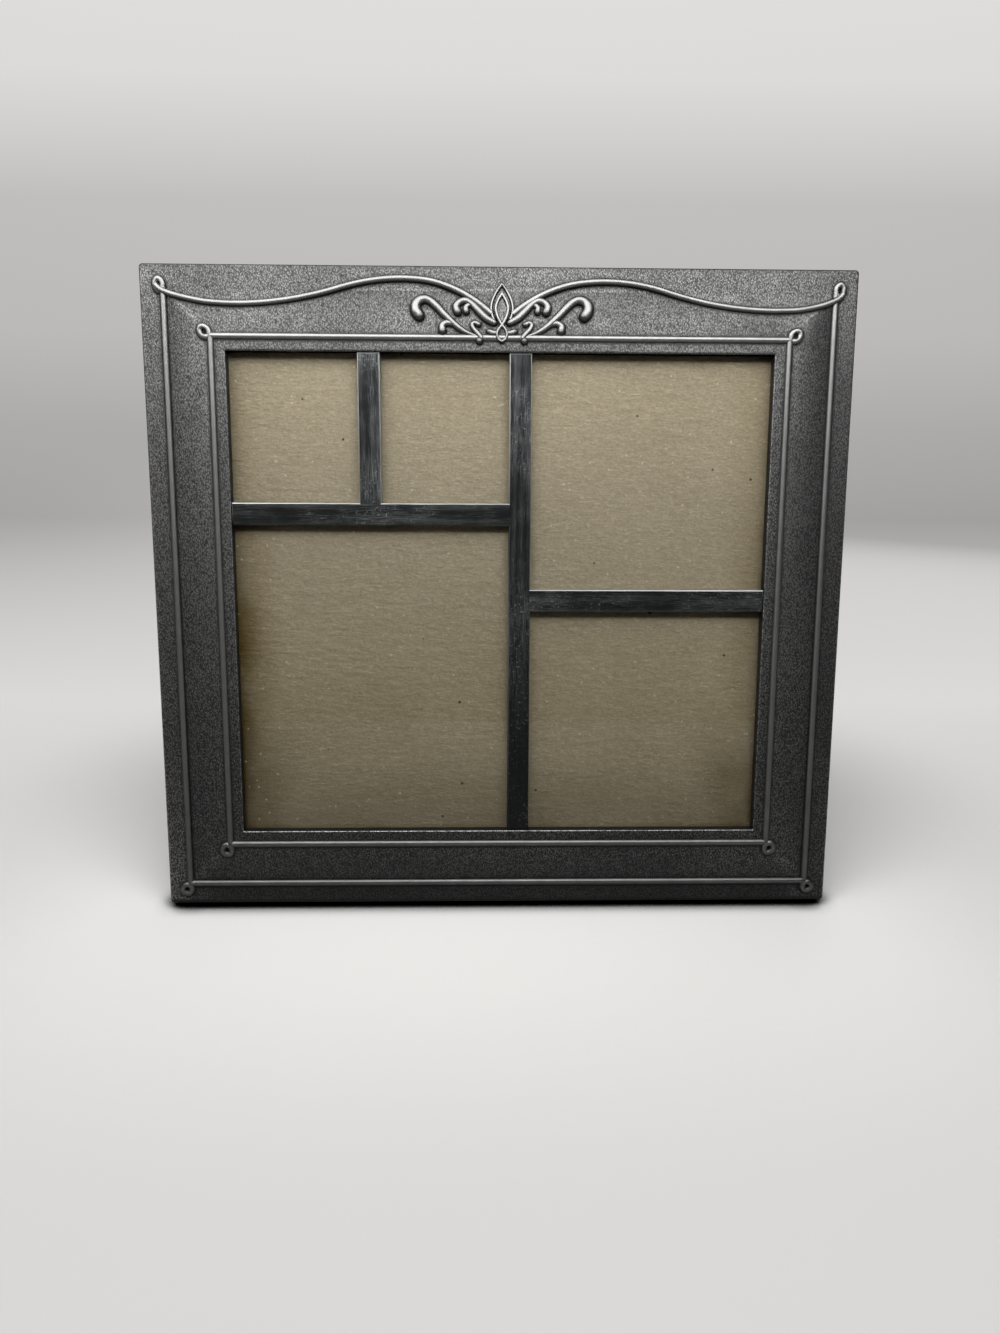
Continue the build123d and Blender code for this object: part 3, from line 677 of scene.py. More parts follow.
def addRun(piece, across, up, forward, radius, closed=False):
    rows = np.stack(np.broadcast_arrays(across, up, forward, radius), -1)
    wireRuns.setdefault(piece, []).append((rows, closed))


# Both halves of the top border; rows are the offset from the centre line, the drop and the radius
def addTopRun(piece, rows, level):
    offset, drop, radius = rows.T
    for side in (1, -1):
        addRun(piece, side * offset, border["height"] - drop, level, radius)


# Loops at the corners: outward, upward, half width, half height and tilt
beads = {
    "radius": 1.2, "outerLevel": 9.42, "innerLevel": 11.52, "spacing": 0.9, "topReach": 0.4,
    "loopWire": 1.16, "loopPoints": 28, "loopPinch": 0.3,
    "topOuter": (1.25, 0.9, 1.25, 1.95, -0.16),
    "bottomOuter": (1.2, -2.15, 1.6, 1.62, -0.5),
    "topInner": (1.9, 1.25, 1.4, 1.95, -0.75),
    "bottomInner": (1.25, -2.1, 1.6, 1.85, -0.5),
    "holeShade": 0.15, "holeReach": (0.3, 0.66),
}
outerU, outerV = halfWidth - border["outerBead"], halfHeight - border["outerBead"]
innerU, innerV = halfWidth - border["innerBead"], halfHeight - border["innerBead"]


# A straight bead between two places on the face
def addBead(start, end, level):
    count = int(math.dist(start, end) / beads["spacing"]) + 2
    u, v = (np.linspace(a, b, count) for a, b in zip(start, end))
    addRun("castBeads", u, v + halfHeight, level, beads["radius"])


loopHoles = []


# Patina fills the holes of the loops: a share of the lift at each place on the face
def holeShade(u, v):
    share = np.ones_like(u)
    for centreU, centreV, wide, tall in loopHoles:
        reach = np.hypot((u - centreU) / wide, (v - centreV) / tall)
        outside = smoothStep(*beads["holeReach"], reach)
        share = share * (beads["holeShade"] + (1 - beads["holeShade"]) * outside)
    return share


# A drop-shaped loop, narrower towards its foot
def addLoop(centreU, centreV, level, wide, tall, tilt):
    angles = np.linspace(0, 2 * math.pi, beads["loopPoints"], endpoint=False)
    pinch = 1 - beads["loopPinch"] * np.clip(-np.sin(angles), 0, 1) ** 2
    a, b = wide * np.cos(angles) * pinch, tall * np.sin(angles)
    u = centreU + a * math.cos(tilt) - b * math.sin(tilt)
    v = centreV + a * math.sin(tilt) + b * math.cos(tilt)
    addRun("castBeads", u, v + halfHeight, level, beads["loopWire"], True)
    loopHoles.append((centreU, centreV + halfHeight, wide, tall))


for side in (-1, 1):
    addBead((side * outerU, outerV + beads["topReach"]), (side * outerU, -outerV), beads["outerLevel"])
    addBead((side * innerU, innerV), (side * innerU, -innerV), beads["innerLevel"])
addBead((-outerU, -outerV), (outerU, -outerV), beads["outerLevel"])
for rise in (-1, 1):
    addBead((-innerU, rise * innerV), (innerU, rise * innerV), beads["innerLevel"])
loopCorners = {
    "topOuter": (outerU, outerV, "outerLevel"), "bottomOuter": (outerU, -outerV, "outerLevel"),
    "topInner": (innerU, innerV, "innerLevel"), "bottomInner": (innerU, -innerV, "innerLevel"),
}
for side in (-1, 1):
    for name, (cornerU, cornerV, level) in loopCorners.items():
        outward, upward, wide, tall, tilt = beads[name]
        addLoop(side * (cornerU + outward), cornerV + upward, beads[level], wide, tall, side * tilt)

# Swag: level at its crest and dip, measured off the centre line and down from the top edge; sag of each half
swag = {
    "root": (3.4, 16.0), "crest": (34.5, 4.5), "dip": (90.5, 13.3), "turnShare": 0.35,
    "arcPoints": 90, "turnPoints": 50, "endSpacing": 0.4, "sagSpacing": 0.5, "groundEdge": (-0.45, 0.45),
    "end": [(90.5, 13.3), (98.5, 13.0), (105.5, 11.9), (109.3, 10.7), (111.7, 9.5), (113.0, 8.2)],
    "radius": 1.14, "swell": 0.12, "swellSpan": (60.0, 10.0), "proud": 0.45, "stripProud": 0.2,
    "right": [(3.0, 0.0), (20.0, 0.1), (31.0, 0.52), (60.0, 0.56), (98.0, 0.62), (106.0, 0.3),
              (114.0, 0.2)],
    "left": [(3.0, -0.2), (12.0, -0.55), (22.0, -0.58), (31.0, -0.1), (50.0, 0.3), (64.0, 0.12),
             (84.0, -0.2), (95.0, -0.55), (105.0, -1.12), (114.0, -0.9)],
}
swagMiddle = tuple(a + swag["turnShare"] * (b - a) for a, b in zip(swag["crest"], swag["dip"]))
swagLine = np.vstack((
    levelArc(swag["crest"], swag["root"], swag["arcPoints"])[::-1],
    levelArc(swag["crest"], swagMiddle, swag["turnPoints"])[1:],
    levelArc(swag["dip"], swagMiddle, swag["arcPoints"])[::-1][1:],
    smoothRun(swag["end"], swag["endSpacing"])[1:],
))
swagWire = swag["radius"] * (1 + swag["swell"] * smoothStep(*swag["swellSpan"], swagLine[:, 0]))


# The relief lies on the chord of the top field, and on the strip beyond it
def swagLevel(drop):
    return np.maximum(chordAt(drop, swag["proud"]), border["stripLevel"] + swag["stripProud"])


# The casting is hand-finished, so each half sags a little differently from the drawn line
swagHalves = {}
for name, side in (("right", 1), ("left", -1)):
    sag = smoothRun(swag[name], swag["sagSpacing"])
    half = swagLine.copy()
    half[:, 1] += np.interp(half[:, 0], sag[:, 0], sag[:, 1])
    swagHalves[side] = half
    addRun("castSwags", side * half[:, 0], border["height"] - half[:, 1], swagLevel(half[:, 1]), swagWire)

# Scrolls from tail to curl: offset, drop and radius at each given point
scrolls = {
    "long": [(8.0, 23.0, 0.3), (11.1, 22.0, 0.62), (14.0, 20.4, 0.86), (16.7, 18.2, 1.0),
             (19.2, 15.8, 1.08), (21.4, 13.5, 1.16), (23.4, 11.8, 1.2), (25.4, 11.1, 1.28),
             (27.2, 11.7, 1.38), (28.3, 13.2, 1.5), (28.2, 15.0, 1.6), (27.1, 16.5, 1.5)],
    "branch": [(14.3, 20.1, 0.5), (16.4, 19.0, 0.82), (18.3, 18.8, 0.94), (19.6, 19.8, 1.05),
               (19.5, 21.3, 1.2)],
    "upper": [(2.5, 18.7, 0.95), (5.2, 17.2, 1.1), (7.6, 14.9, 1.1), (9.9, 12.6, 1.0), (12.0, 11.5, 1.0),
              (14.0, 12.1, 1.05), (15.1, 13.6, 1.1), (14.5, 15.2, 1.2)],
    "inner": [(9.1, 13.3, 0.6), (10.7, 12.9, 0.74), (11.8, 13.7, 0.84), (11.7, 15.1, 0.96)],
    "foot": [(6.6, 23.7, 0.78), (8.1, 21.9, 0.76), (9.5, 20.3, 0.68), (9.8, 19.2, 0.64), (8.9, 18.6, 0.64),
             (7.6, 19.2, 0.8)],
    "stub": [(1.5, 21.9, 0.8), (2.8, 21.9, 0.84), (4.2, 21.5, 0.9)],
}
scrollForm = {
    "proud": 0.5, "fieldProud": 0.2, "swell": 1.26, "knobSwell": 1.01,
    "rootKnobs": [(7.4, 24.5, 1.35), (2.5, 18.7, 1.1)],
}


def scrollLevel(drop):
    return np.maximum(chordAt(drop, scrollForm["proud"]), fieldAt(drop) + scrollForm["fieldProud"])


knobs = []
for points in scrolls.values():
    run = smoothRun(points)
    run[:, 2] *= scrollForm["swell"]
    addTopRun("castScrolls", run, scrollLevel(run[:, 1]))
    offset, drop, radius = points[-1]
    knobs.append((offset, drop, radius * scrollForm["swell"] * scrollForm["knobSwell"]))
knobs += scrollForm["rootKnobs"]

# Finial: two leaf outlines and the drop below them, as wires over raised plates dished towards the middle
finial = {
    "outer": {"wire": 0.44, "proud": 0.55, "plate": 0.3, "line": [
        (0.0, 6.1), (1.85, 8.7), (3.15, 11.6), (3.55, 14.1), (3.2, 16.2), (2.5, 18.0)]},
    "inner": {"wire": 0.54, "proud": 1.0, "plate": 0.72, "line": [
        (0.0, 9.2), (1.4, 11.7), (2.05, 14.1), (1.5, 16.6), (0.55, 18.6), (0.0, 19.5)]},
    "drop": {"wire": 0.54, "proud": 1.0, "plate": 0.72, "line": [
        (0.0, 19.5), (1.05, 20.7), (1.6, 22.1), (1.3, 23.7), (0.0, 24.7)]},
}
for leaf in finial.values():
    run = smoothRun([(*p, leaf["wire"]) for p in leaf["line"]])
    addTopRun("castFinial", run, fieldAt(run[:, 1]) + leaf["proud"])

# How finely wires and knobs are divided, and the lift of each piece's feet and crests
wireForm = {
    "sides": 14, "knobSegments": 18, "knobRings": 9, "castKnobs": (0.26, 0.56),
    "castBeads": (0.47, 0.71), "castSwags": (0.36, 0.69),
    "castScrolls": (0.38, 0.67), "castFinial": (0.3, 0.7),
}
castPieces = []


# A piece from rows of across, up, forward and radius, shaped by a tree
def castPiece(name, rows, edges, tree, inputs):
    piece = newPiece(name, onFace(*rows[:, :3].T), edges=edges)
    setPoints(piece, "wireRadius", rows[:, 3] * mm)
    foot, crest = wireForm[name]
    settle(piece, tree, {**inputs, "Foot lift": foot, "Crest lift": crest, "Material": pewter})
    castPieces.append(piece)
    return piece


wires = wireTree()
for name, runs in wireRuns.items():
    edges, start = [], 0
    for run, closed in runs:
        end = start + len(run) - 1
        edges += [(k, k + 1) for k in range(start, end)] + [(end, start)] * closed
        start = end + 1
    rows = np.vstack([run for run, closed in runs])
    piece = castPiece(name, rows, edges, wires, {"Sides": wireForm["sides"]})
    if name == "castBeads":
        u, v, w = offFace([vertex.co for vertex in piece.data.vertices])
        lifts = piece.data.attributes["lift"].data
        worn = np.array([p.value for p in lifts]) * holeShade(u, v)
        lifts.foreach_set("value", worn.astype(np.float32))

knobRows = np.array([(side * u, border["height"] - drop, float(scrollLevel(drop)), radius)
                     for u, drop, radius in knobs for side in (1, -1)])
knobInputs = {"Segments": wireForm["knobSegments"], "Rings": wireForm["knobRings"]}
castPiece("castKnobs", knobRows, (), knobTree(), knobInputs)
print("relief made:", sum(len(p.data.polygons) for p in castPieces), "faces")


# Height of the ground's slight waves: one at each point of a jittered grid, falling away from it
def pebbles(u, v):
    size, grid = border["waveSize"], border["waveGrid"]
    table = np.random.default_rng(border["seed"]).random((grid, grid, 2))
    cellU, cellV = np.floor(u / size).astype(int), np.floor(v / size).astype(int)
    nearest = np.full(u.shape, np.inf)
    for stepU in (-1, 0, 1):
        for stepV in (-1, 0, 1):
            jitter = table[(cellU + stepU) % grid, (cellV + stepV) % grid]
            gapU = u / size - (cellU + stepU + jitter[..., 0])
            gapV = v / size - (cellV + stepV + jitter[..., 1])
            nearest = np.minimum(nearest, np.hypot(gapU, gapV))
    return 1.0 - nearest


# One loop round the frame at a distance in from the outline, with rounded corners
def ringAt(inset, rounding):
    a, b = halfWidth - inset - rounding, halfHeight - inset - rounding
    counts = [int(border[side] / border["along"]) for side in ("width", "height")]
    centres = [(a, b), (-a, b), (-a, -b), (a, -b)]
    u, v = [], []
    for quarter, (cu, cv) in enumerate(centres):
        angles = math.pi / 2 * (quarter + np.linspace(0, 1, border["cornerPoints"]))
        u += list(cu + rounding * np.cos(angles))
        v += list(cv + rounding * np.sin(angles))
        nextU, nextV = centres[(quarter + 1) % 4]
        shares = np.linspace(0, 1, counts[quarter % 2] + 2)[1:-1]
        u += list(u[-1] + (nextU - cu) * shares)
        v += list(v[-1] + (nextV - cv) * shares)
    return np.array(u), np.array(v) + halfHeight


# The casting's section, from the outer foot over the front and back along the rear: inset, level, lift
def borderSection():
    worn = borderLift
    rise, bend, draft, chamfer = (border[k] for k in ("stripLevel", "edgeRound", "draft", "rimChamfer"))
    outer, inner, window, arris = (border[k] for k in ("outerBead", "innerBead", "window", "arris"))
    field, front, half = (border[k] for k in ("fieldLevel", "innerLevel", "beadHalf"))
    rows = [(0.0, level, lift) for level, lift in zip((0.0, chamfer), worn["foot"])]
    rows += [(draft * level / rise, level, worn["wall"]) for level in border["wallRows"]]
    for angle in np.linspace(0, math.pi / 2, border["edgeRows"]):
        inset = draft + bend * (1 - math.cos(angle)) - border["edgeTuck"] * math.cos(angle)
        lift = worn["edge"] + worn["edgeWorn"] * math.sin(2 * angle)
        rows.append((inset, rise - bend + bend * math.sin(angle), lift))
    insets = np.linspace(border["stripStart"], outer, border["stripRows"])
    rows += [(inset, rise, worn["strip"]) for inset in insets]
    for inset in np.linspace(outer, inner, int(fieldWidth / border["rows"]) + 2)[1:-1]:
        lift = worn["field"] + worn["fieldInner"] * (inset - outer) / fieldWidth
        rows.append((inset, float(fieldAt(inset)), lift))
    rows += [(inner - half, field, worn["step"]), (inner + half, front, worn["step"])]
    insets = np.linspace(inner + border["innerStart"], window - arris, border["innerRows"])
    rows += [(inset, front, worn["inner"]) for inset in insets]
    rows += [(window - back * arris, front - down * arris, lift) for back, down, lift in worn["arris"]]
    glass, seat, channel = (border[k] for k in ("glassLevel", "seatLevel", "channelLevel"))
    rebate, rim = border["rebate"], border["rimWall"]
    wallBack = rebate - border["rebateWall"]
    rear = [(window, glass), (rebate, glass), (rebate, seat), (wallBack, seat), (wallBack, channel),
            (rim, channel), (rim, chamfer), (rim - chamfer, 0.0), (chamfer, 0.0)]
    return rows + [(*place, lift) for place, lift in zip(rear, worn["rear"])]


# Where the ground lies above the swag, beyond its middle, as a share
def aboveSwag(u, v):
    across, drop = np.abs(u), border["height"] - v
    line = np.zeros_like(u)
    for side, half in swagHalves.items():
        order = np.argsort(half[:, 0])
        line = np.where(u * side >= 0, np.interp(across, half[order, 0], half[order, 1]), line)
    above = smoothStep(*swag["groundEdge"], line - drop)
    return above * (across > swagMiddle[0]) * (across < outerU) * (drop < border["innerBead"])


# All runs of the relief in one search tree, for the patina beside them
relief = np.vstack([run for runs in wireRuns.values() for run, closed in runs])
reliefTree = KDTree(len(relief))
for index, (u, v, w, radius) in enumerate(relief):
    reliefTree.insert((u, v, 0.0), index)
reliefTree.balance()

# Patina, with painted light and shade beside it: shares added to the lift, factors round the window and the
# most that the outer edge keeps;
# a span in millimetres runs from none to all
patina = {
    # Below the wires the ground gets painted shadow, above them painted light
    "wireFoot": 0.62, "shadowUnderWire": -0.42, "lightOverWire": 0.2, "wireSpan": (-0.3, 0.9), "wireLeast": 0.2,
    "mitre": 0.06, "mitreWidth": 2.6, "sideGround": 0.026, "aboveSwag": 0.07, "belowSwag": -0.05,
    # The left strip low down gets painted light
    "leftStrip": 0.024, "leftFloorLight": 0.12, "leftSpan": (75.0, 15.0),
    # The right strip over its middle heights gets painted shade
    "rightShade": -0.06, "rightLow": (40.0, 70.0), "rightHigh": (200.0, 170.0),
    # The bottom strip gets painted shade
    "footShade": -0.14, "footSpan": (0.0, 12.0),
    # Round the window the arris gets painted light at the sill and painted shade at the head
    "sill": 0.84, "head": 0.5, "jamb": 0.76, "windowEdge": 0.5,
    "edgeReach": 1.6, "footMost": 0.16, "topMost": 0.4,
}


# Patina beside the wires and in the loops, with painted shadow below the wires and painted light above them;
# lighter or darker by place over the field and strips
def groundPatina(inset, u, v, shade, above):
    found = np.array([reliefTree.find((a, b, 0.0))[1:] for a, b in zip(u, v)])
    wire, gap = relief[found[:, 0].astype(int)], found[:, 1]
    under = np.clip((wire[:, 1] - v) / np.maximum(gap, patina["wireLeast"]), -1, 1)
    foot = patina["wireFoot"] + patina["shadowUnderWire"] * np.clip(under, 0, 1)
    foot = foot + patina["lightOverWire"] * np.clip(-under, 0, 1)
    shade = shade * (foot + (1 - foot) * smoothStep(*patina["wireSpan"], gap - wire[:, 3]))
    drop, fromSide = border["height"] - v, halfWidth - np.abs(u)
    if inField(inset):
        mitre = np.minimum(np.abs(fromSide - drop), np.abs(fromSide - v))
        shade = shade + patina["mitre"] * np.exp(-(mitre / patina["mitreWidth"]) ** 2)
        shade = shade + patina["sideGround"] * (fromSide < np.minimum(drop, v))
        ground = patina["aboveSwag"] * above + patina["belowSwag"] * (1 - above)
        shade = shade + ground * (drop < fromSide)
    if inset >= border["outerBead"]:
        return shade * holeShade(u, v)
    left, right, low = u < -outerU, u > outerU, v < border["outerBead"]
    shade = (shade + patina["leftStrip"] * left) * holeShade(u, v)
    # Painted light: the left strip is lighter low down, near the floor
    shade = shade + patina["leftFloorLight"] * left * smoothStep(*patina["leftSpan"], v)
    # Painted shade: the right strip is darker over its middle heights
    dull = smoothStep(*patina["rightLow"], v) * smoothStep(*patina["rightHigh"], v)
    shade = shade + patina["rightShade"] * right * dull
    # Painted shade: the bottom strip is darker
    return shade + patina["footShade"] * low * smoothStep(*patina["footSpan"], outerU - np.abs(u))


# Worn arrises round the window, with painted light at the sill and painted shade at the head; black painted
# shade on its head wall; the outer edge held dark at the foot, painted shade, and at the top
def edgePatina(inset, level, v, shade, front):
    window, height, arris = border["window"], border["height"], border["arris"]
    head = v > height - window - patina["windowEdge"]
    # Painted light and shade: the arris is lighter at the sill, which faces up, and darker at the head
    if front and level < border["innerLevel"] and window - arris < inset <= window:
        sill = v < window + patina["windowEdge"]
        shade = shade * np.where(sill, patina["sill"], np.where(head, patina["head"], patina["jamb"]))
    # Painted shade: the window's head wall, which faces down, is made black
    if inset == window and level < border["innerLevel"] - arris:
        shade = np.where(head, paintedShade["lift"], shade)
    # Painted shade on the outer edge's rounding at the foot, by the floor; it is held dark at the top as
    # well
    if inset <= border["draft"] + border["edgeRound"]:
        reach = patina["edgeReach"]
        shade = np.where(v < reach, np.minimum(shade, patina["footMost"]), shade)
        shade = np.where(v > height - reach, np.minimum(shade, patina["topMost"]), shade)
    return shade


# Quads between rings of points that follow each other in the list
def ringFaces(start, rings, count, closed):
    faces = []
    for ring in range(rings if closed else rings - 1):
        here, there = start + ring * count, start + (ring + 1) % rings * count
        for k in range(count):
            other = (k + 1) % count
            faces.append((here + k, here + other, there + other, there + k))
    return faces


def castBorder():
    points, lifts, plains = [], [], []
    for inset, level, lift in borderSection():
        outer = inset <= border["draft"] + border["edgeRound"]
        u, v = ringAt(inset, border["cornerRound"] if outer else border["mitreRound"])
        w, shade = np.full(u.shape, level), np.full(u.shape, lift)
        front = level >= border["frontFrom"]
        if front:
            above = aboveSwag(u, v)
            if inField(inset):
                w = w + above * (border["stripLevel"] - w)
            w = w + border["wave"] * pebbles(u, v)
            shade = groundPatina(inset, u, v, shade, above)
        points.append(onFace(u, v, w))
        lifts.append(edgePatina(inset, level, v, shade, front))
        plains.append(np.full(u.shape, 0.0 if front else border["rearPlain"]))
    faces = ringFaces(0, len(points), len(points[0]), True)
    piece = newPiece("castBorder", np.vstack(points), faces)
    setPoints(piece, "lift", np.concatenate(lifts))
    setPoints(piece, "plain", np.concatenate(plains))
    piece.data.materials.append(pewter)
    setSmooth(piece)
    piece.data.set_sharp_from_angle(angle=math.radians(border["sharpOver"]))
    return piece


castPieces.append(castBorder())
print("border made:", len(castPieces[-1].data.polygons), "faces")

# Plates under the finial's wires: each ring's share of the outline, its dip and its lift
plates = {
    "spacing": 0.35, "root": -0.4, "plain": 0.2,
    "rings": [(1.0, 0.0, 0.16), (0.7, 0.12, 0.44), (0.35, 0.2, 0.44), (0.0, 0.22, 0.5)],
}


def leafPlates():
    points, faces, lifts = [], [], []
    for leaf in finial.values():
        half = smoothRun(leaf["line"], plates["spacing"])
        outline = np.vstack((half, half[::-1][1:-1] * (-1, 1)))
        middle, count, start = outline.mean(0), len(outline), len(points)
        rings = [(share, leaf["plate"] - dip, lift) for share, dip, lift in plates["rings"]]
        rings.insert(0, (1.0, plates["root"], plates["rings"][0][2]))
        for share, level, lift in rings:
            ring = middle + (outline - middle) * share if share else middle[None]
            points += list(onFace(ring[:, 0], border["height"] - ring[:, 1], fieldAt(ring[:, 1]) + level))
            lifts += [lift] * len(ring)
        faces += [(a, d, c, b) for a, b, c, d in ringFaces(start, len(rings) - 1, count, False)]
        last, tip = len(points) - 1 - count, len(points) - 1
        faces += [(last + k, tip, last + (k + 1) % count) for k in range(count)]
    piece = newPiece("castLeafPlates", points, faces)
    setPoints(piece, "lift", lifts)
    setPoints(piece, "plain", [plates["plain"]] * len(points))
    piece.data.materials.append(pewter)
    setSmooth(piece)
    return piece


castPieces.append(leafPlates())

# Dividing bars: a flat network with the five windows left open and their front arrises eased
bars = {
    "front": 11.2, "back": 8.0, "arris": 0.42, "arrisRows": 2, "arrisShape": 0.6,
    "width": 7.5, "leftColumn": 93.3, "smallHeight": 49.1,
    "slack": 0.01, "uvShift": (40.0, 300.0),
    # The arris is lighter where it faces up, a painted highlight, and darker where it faces down, painted
    # shade
    "arrisLift": 0.3, "sillHighlight": 0.7, "headShade": -0.3, "turned": (0.2, 0.5),
}
blockU, blockV = halfWidth - border["window"], halfHeight - border["window"]
columnEnd = bars["leftColumn"] - blockU
smallWidth = (bars["leftColumn"] - bars["width"]) / 2
smallLow = halfHeight + blockV - bars["smallHeight"]
barU = [-blockU, smallWidth - blockU, smallWidth + bars["width"] - blockU, columnEnd,
        columnEnd + bars["width"], blockU]
barV = [halfHeight - blockV, halfHeight - bars["width"] / 2, halfHeight + bars["width"] / 2,
        smallLow - bars["width"], smallLow, halfHeight + blockV]
# Windows and upright bars, by their lines: left, right, lower, upper
windows = [(0, 1, 4, 5), (2, 3, 4, 5), (0, 3, 0, 3), (4, 5, 2, 5), (4, 5, 0, 1)]
uprights = [(3, 4, 0, 5), (1, 2, 4, 5)]


def isInside(u, v, boxes):
    return any(barU[a] < u < barU[b] and barV[c] < v < barV[d] for a, b, c, d in boxes)


def barShape():
    shape = bmesh.new()
    corners = {}

    def corner(u, v, w):
        if (u, v, w) not in corners:
            corners[u, v, w] = shape.verts.new(onFace(u, v, w))
        return corners[u, v, w]

    front, back = bars["front"], bars["back"]
    middleU, middleV = ([(a + b) / 2 for a, b in zip(lines, lines[1:])] for lines in (barU, barV))
    cells = [(i, j) for i in range(5) for j in range(5) if not isInside(middleU[i], middleV[j], windows)]
    for i, j in cells:
        (left, right), (low, high) = barU[i:i + 2], barV[j:j + 2]
        box = [(left, low), (right, low), (right, high), (left, high)]
        shape.faces.new([corner(u, v, front) for u, v in box])
        shape.faces.new([corner(u, v, back) for u, v in reversed(box)])
        for k, (di, dj) in enumerate(((0, -1), (1, 0), (0, 1), (-1, 0))):
            if (i + di, j + dj) not in cells:
                a, b = box[k], box[(k + 1) % 4]
                shape.faces.new([corner(*a, back), corner(*b, back), corner(*b, front), corner(*a, front)])
    shape.normal_update()
    return shape


# An edge between a face that looks forward and one that looks sideways
def isFrontArris(edge):
    facing = [face.normal.dot(Vector(faceOut)) for face in edge.link_faces]
    return len(facing) == 2 and max(facing) > 0.9 and min(abs(f) for f in facing) < 0.1


def windowBars():
    shape = barShape()
    along = shape.loops.layers.uv.new("along")
    eased = [e for e in shape.edges if isFrontArris(e)]
    bmesh.ops.bevel(
        shape, geom=eased, offset=bars["arris"] * mm, affect="EDGES",
        segments=bars["arrisRows"], profile=bars["arrisShape"]
    )
    shape.normal_update()
    shiftU, shiftV = bars["uvShift"]
    for face in shape.faces:
        u, v, w = offFace(face.calc_center_median())
        upright = isInside(u, v, uprights)
        for loop in face.loops:
            u, v, w = offFace(loop.vert.co)
            loop[along].uv = (v, u + shiftU + w) if upright else (u + shiftV, v + w)
    piece = newPiece("windowBars")
    shape.to_mesh(piece.data)
    shape.free()
    u, v, levels = offFace([vertex.co for vertex in piece.data.vertices])
    turned = np.array([vertex.normal for vertex in piece.data.vertices]) @ faceUp
    upward, downward = smoothStep(*bars["turned"], turned), smoothStep(*bars["turned"], -turned)
    rim = bars["front"] - bars["arris"] - bars["slack"]
    onArris = (levels > rim) & (levels < bars["front"] - 2 * bars["slack"])
    # Lift: worn arrises, with a painted highlight where they face up and painted shade where they face down;
    # faces behind the arris that look down get black painted shade
    lifts = onArris * (bars["arrisLift"] + bars["sillHighlight"] * upward + bars["headShade"] * downward)
    setPoints(piece, "lift", lifts + paintedShade["lift"] * (levels < rim) * downward)
    piece.data.materials.append(brushedBar)
    return piece


castPieces.append(windowBars())
print("bars made:", len(castPieces[-1].data.polygons), "faces")

# Posts behind the border and the slotted screws that hold the clips
clips = {"across": 60.0, "up": 55.0, "inset": 7.0}
sideU, sideV = halfWidth - clips["inset"], halfHeight - clips["inset"]
signs = [(s, t) for s in (-1, 1) for t in (-1, 1)]
clipPlaces = [(s * clips["across"], t * sideV) for s, t in signs]
clipPlaces += [(s * sideU, t * clips["up"]) for s, t in signs]
rearTurn = Matrix.Rotation(-(math.pi / 2 + leanAngle), 3, "X")
posts = {"sizes": {"Radius": 3.6, "Length": 4.9}, "middle": 4.25, "sides": 32, "lift": 0.3, "plain": 0.6}


def postTree():
    tree, flow, flows = newTree("castPost", {**{name: "Float" for name in posts["sizes"]}, **liftInputs})
    values = {"Vertices": posts["sides"], "Radius": flows["Radius"], "Depth": flows["Length"]}
    post = flow.node("GeometryNodeMeshCylinder", None, values)
    made = atPoints(flow, flows, post, Rotation=tuple(rearTurn.to_euler()))
    return endTree(tree, flows, made, posts["plain"])


postPiece = newPiece("castPosts", [onFace(u, v + halfHeight, posts["middle"]) for u, v in clipPlaces])
postInputs = {name: size * mm for name, size in posts["sizes"].items()}
settle(postPiece, postTree(), {
    **postInputs, "Foot lift": posts["lift"], "Crest lift": posts["lift"], "Material": pewter,
})
setSmooth(postPiece, False)
castPieces.append(postPiece)

screws = {
    "sizes": {"Head radius": 2.4, "Head height": 0.85, "Shank radius": 1.3, "Shank length": 5.8,
              "Slot width": 0.55, "Slot depth": 0.5},
    "seat": 0.89, "headSegments": 28, "headRings": 16, "shankSides": 20, "sharpOver": 35.0, "seed": 4,
}


# Domed head with a saw slot, on a plain shank; the head's seat is at the origin, Z points out
def screwTree():
    tree, flow, flows = newTree("clipScrew", {**{name: "Float" for name in screws["sizes"]}, **liftInputs})
    radius, height, length = (flows[name] for name in ("Head radius", "Head height", "Shank length"))
    values = {"Segments": screws["headSegments"], "Rings": screws["headRings"], "Radius": 1.0}
    ball = flow.node("GeometryNodeMeshUVSphere", None, values)
    head = ball.moved(Scale=flow.vector(X=radius, Y=radius, Z=height))
    wide = radius * 3.0
    block = flow.node("GeometryNodeMeshCube", None, {"Size": flow.vector(X=wide, Y=wide, Z=wide)})
    saw = flow.vector(X=wide, Y=flows["Slot width"], Z=flows["Slot depth"] * 2.0)
    slot = flow.node("GeometryNodeMeshCube", None, {"Size": saw})
    for cutter, rise in ((block, wide * -0.5), (slot, height)):
        values = {"Mesh 1": head, "Mesh 2": cutter.moved(Translation=flow.vector(Z=rise))}
        head = flow.node("GeometryNodeMeshBoolean", {"operation": "DIFFERENCE"}, values)
    values = {"Vertices": screws["shankSides"], "Radius": flows["Shank radius"], "Depth": length}
    shank = flow.node("GeometryNodeMeshCylinder", None, values)
    shank = shank.moved(Translation=flow.vector(Z=length * -0.5))
    join = flow.node("GeometryNodeJoinGeometry", None, {"Geometry": head})
    tree.links.new(shank.socket, join.socket.node.inputs[0])
    turn = flow.node("FunctionNodeEulerToRotation", None, {"Euler": flow.stored("turn", "FLOAT_VECTOR")})
    return endTree(tree, flows, atPoints(flow, flows, join, Rotation=turn))


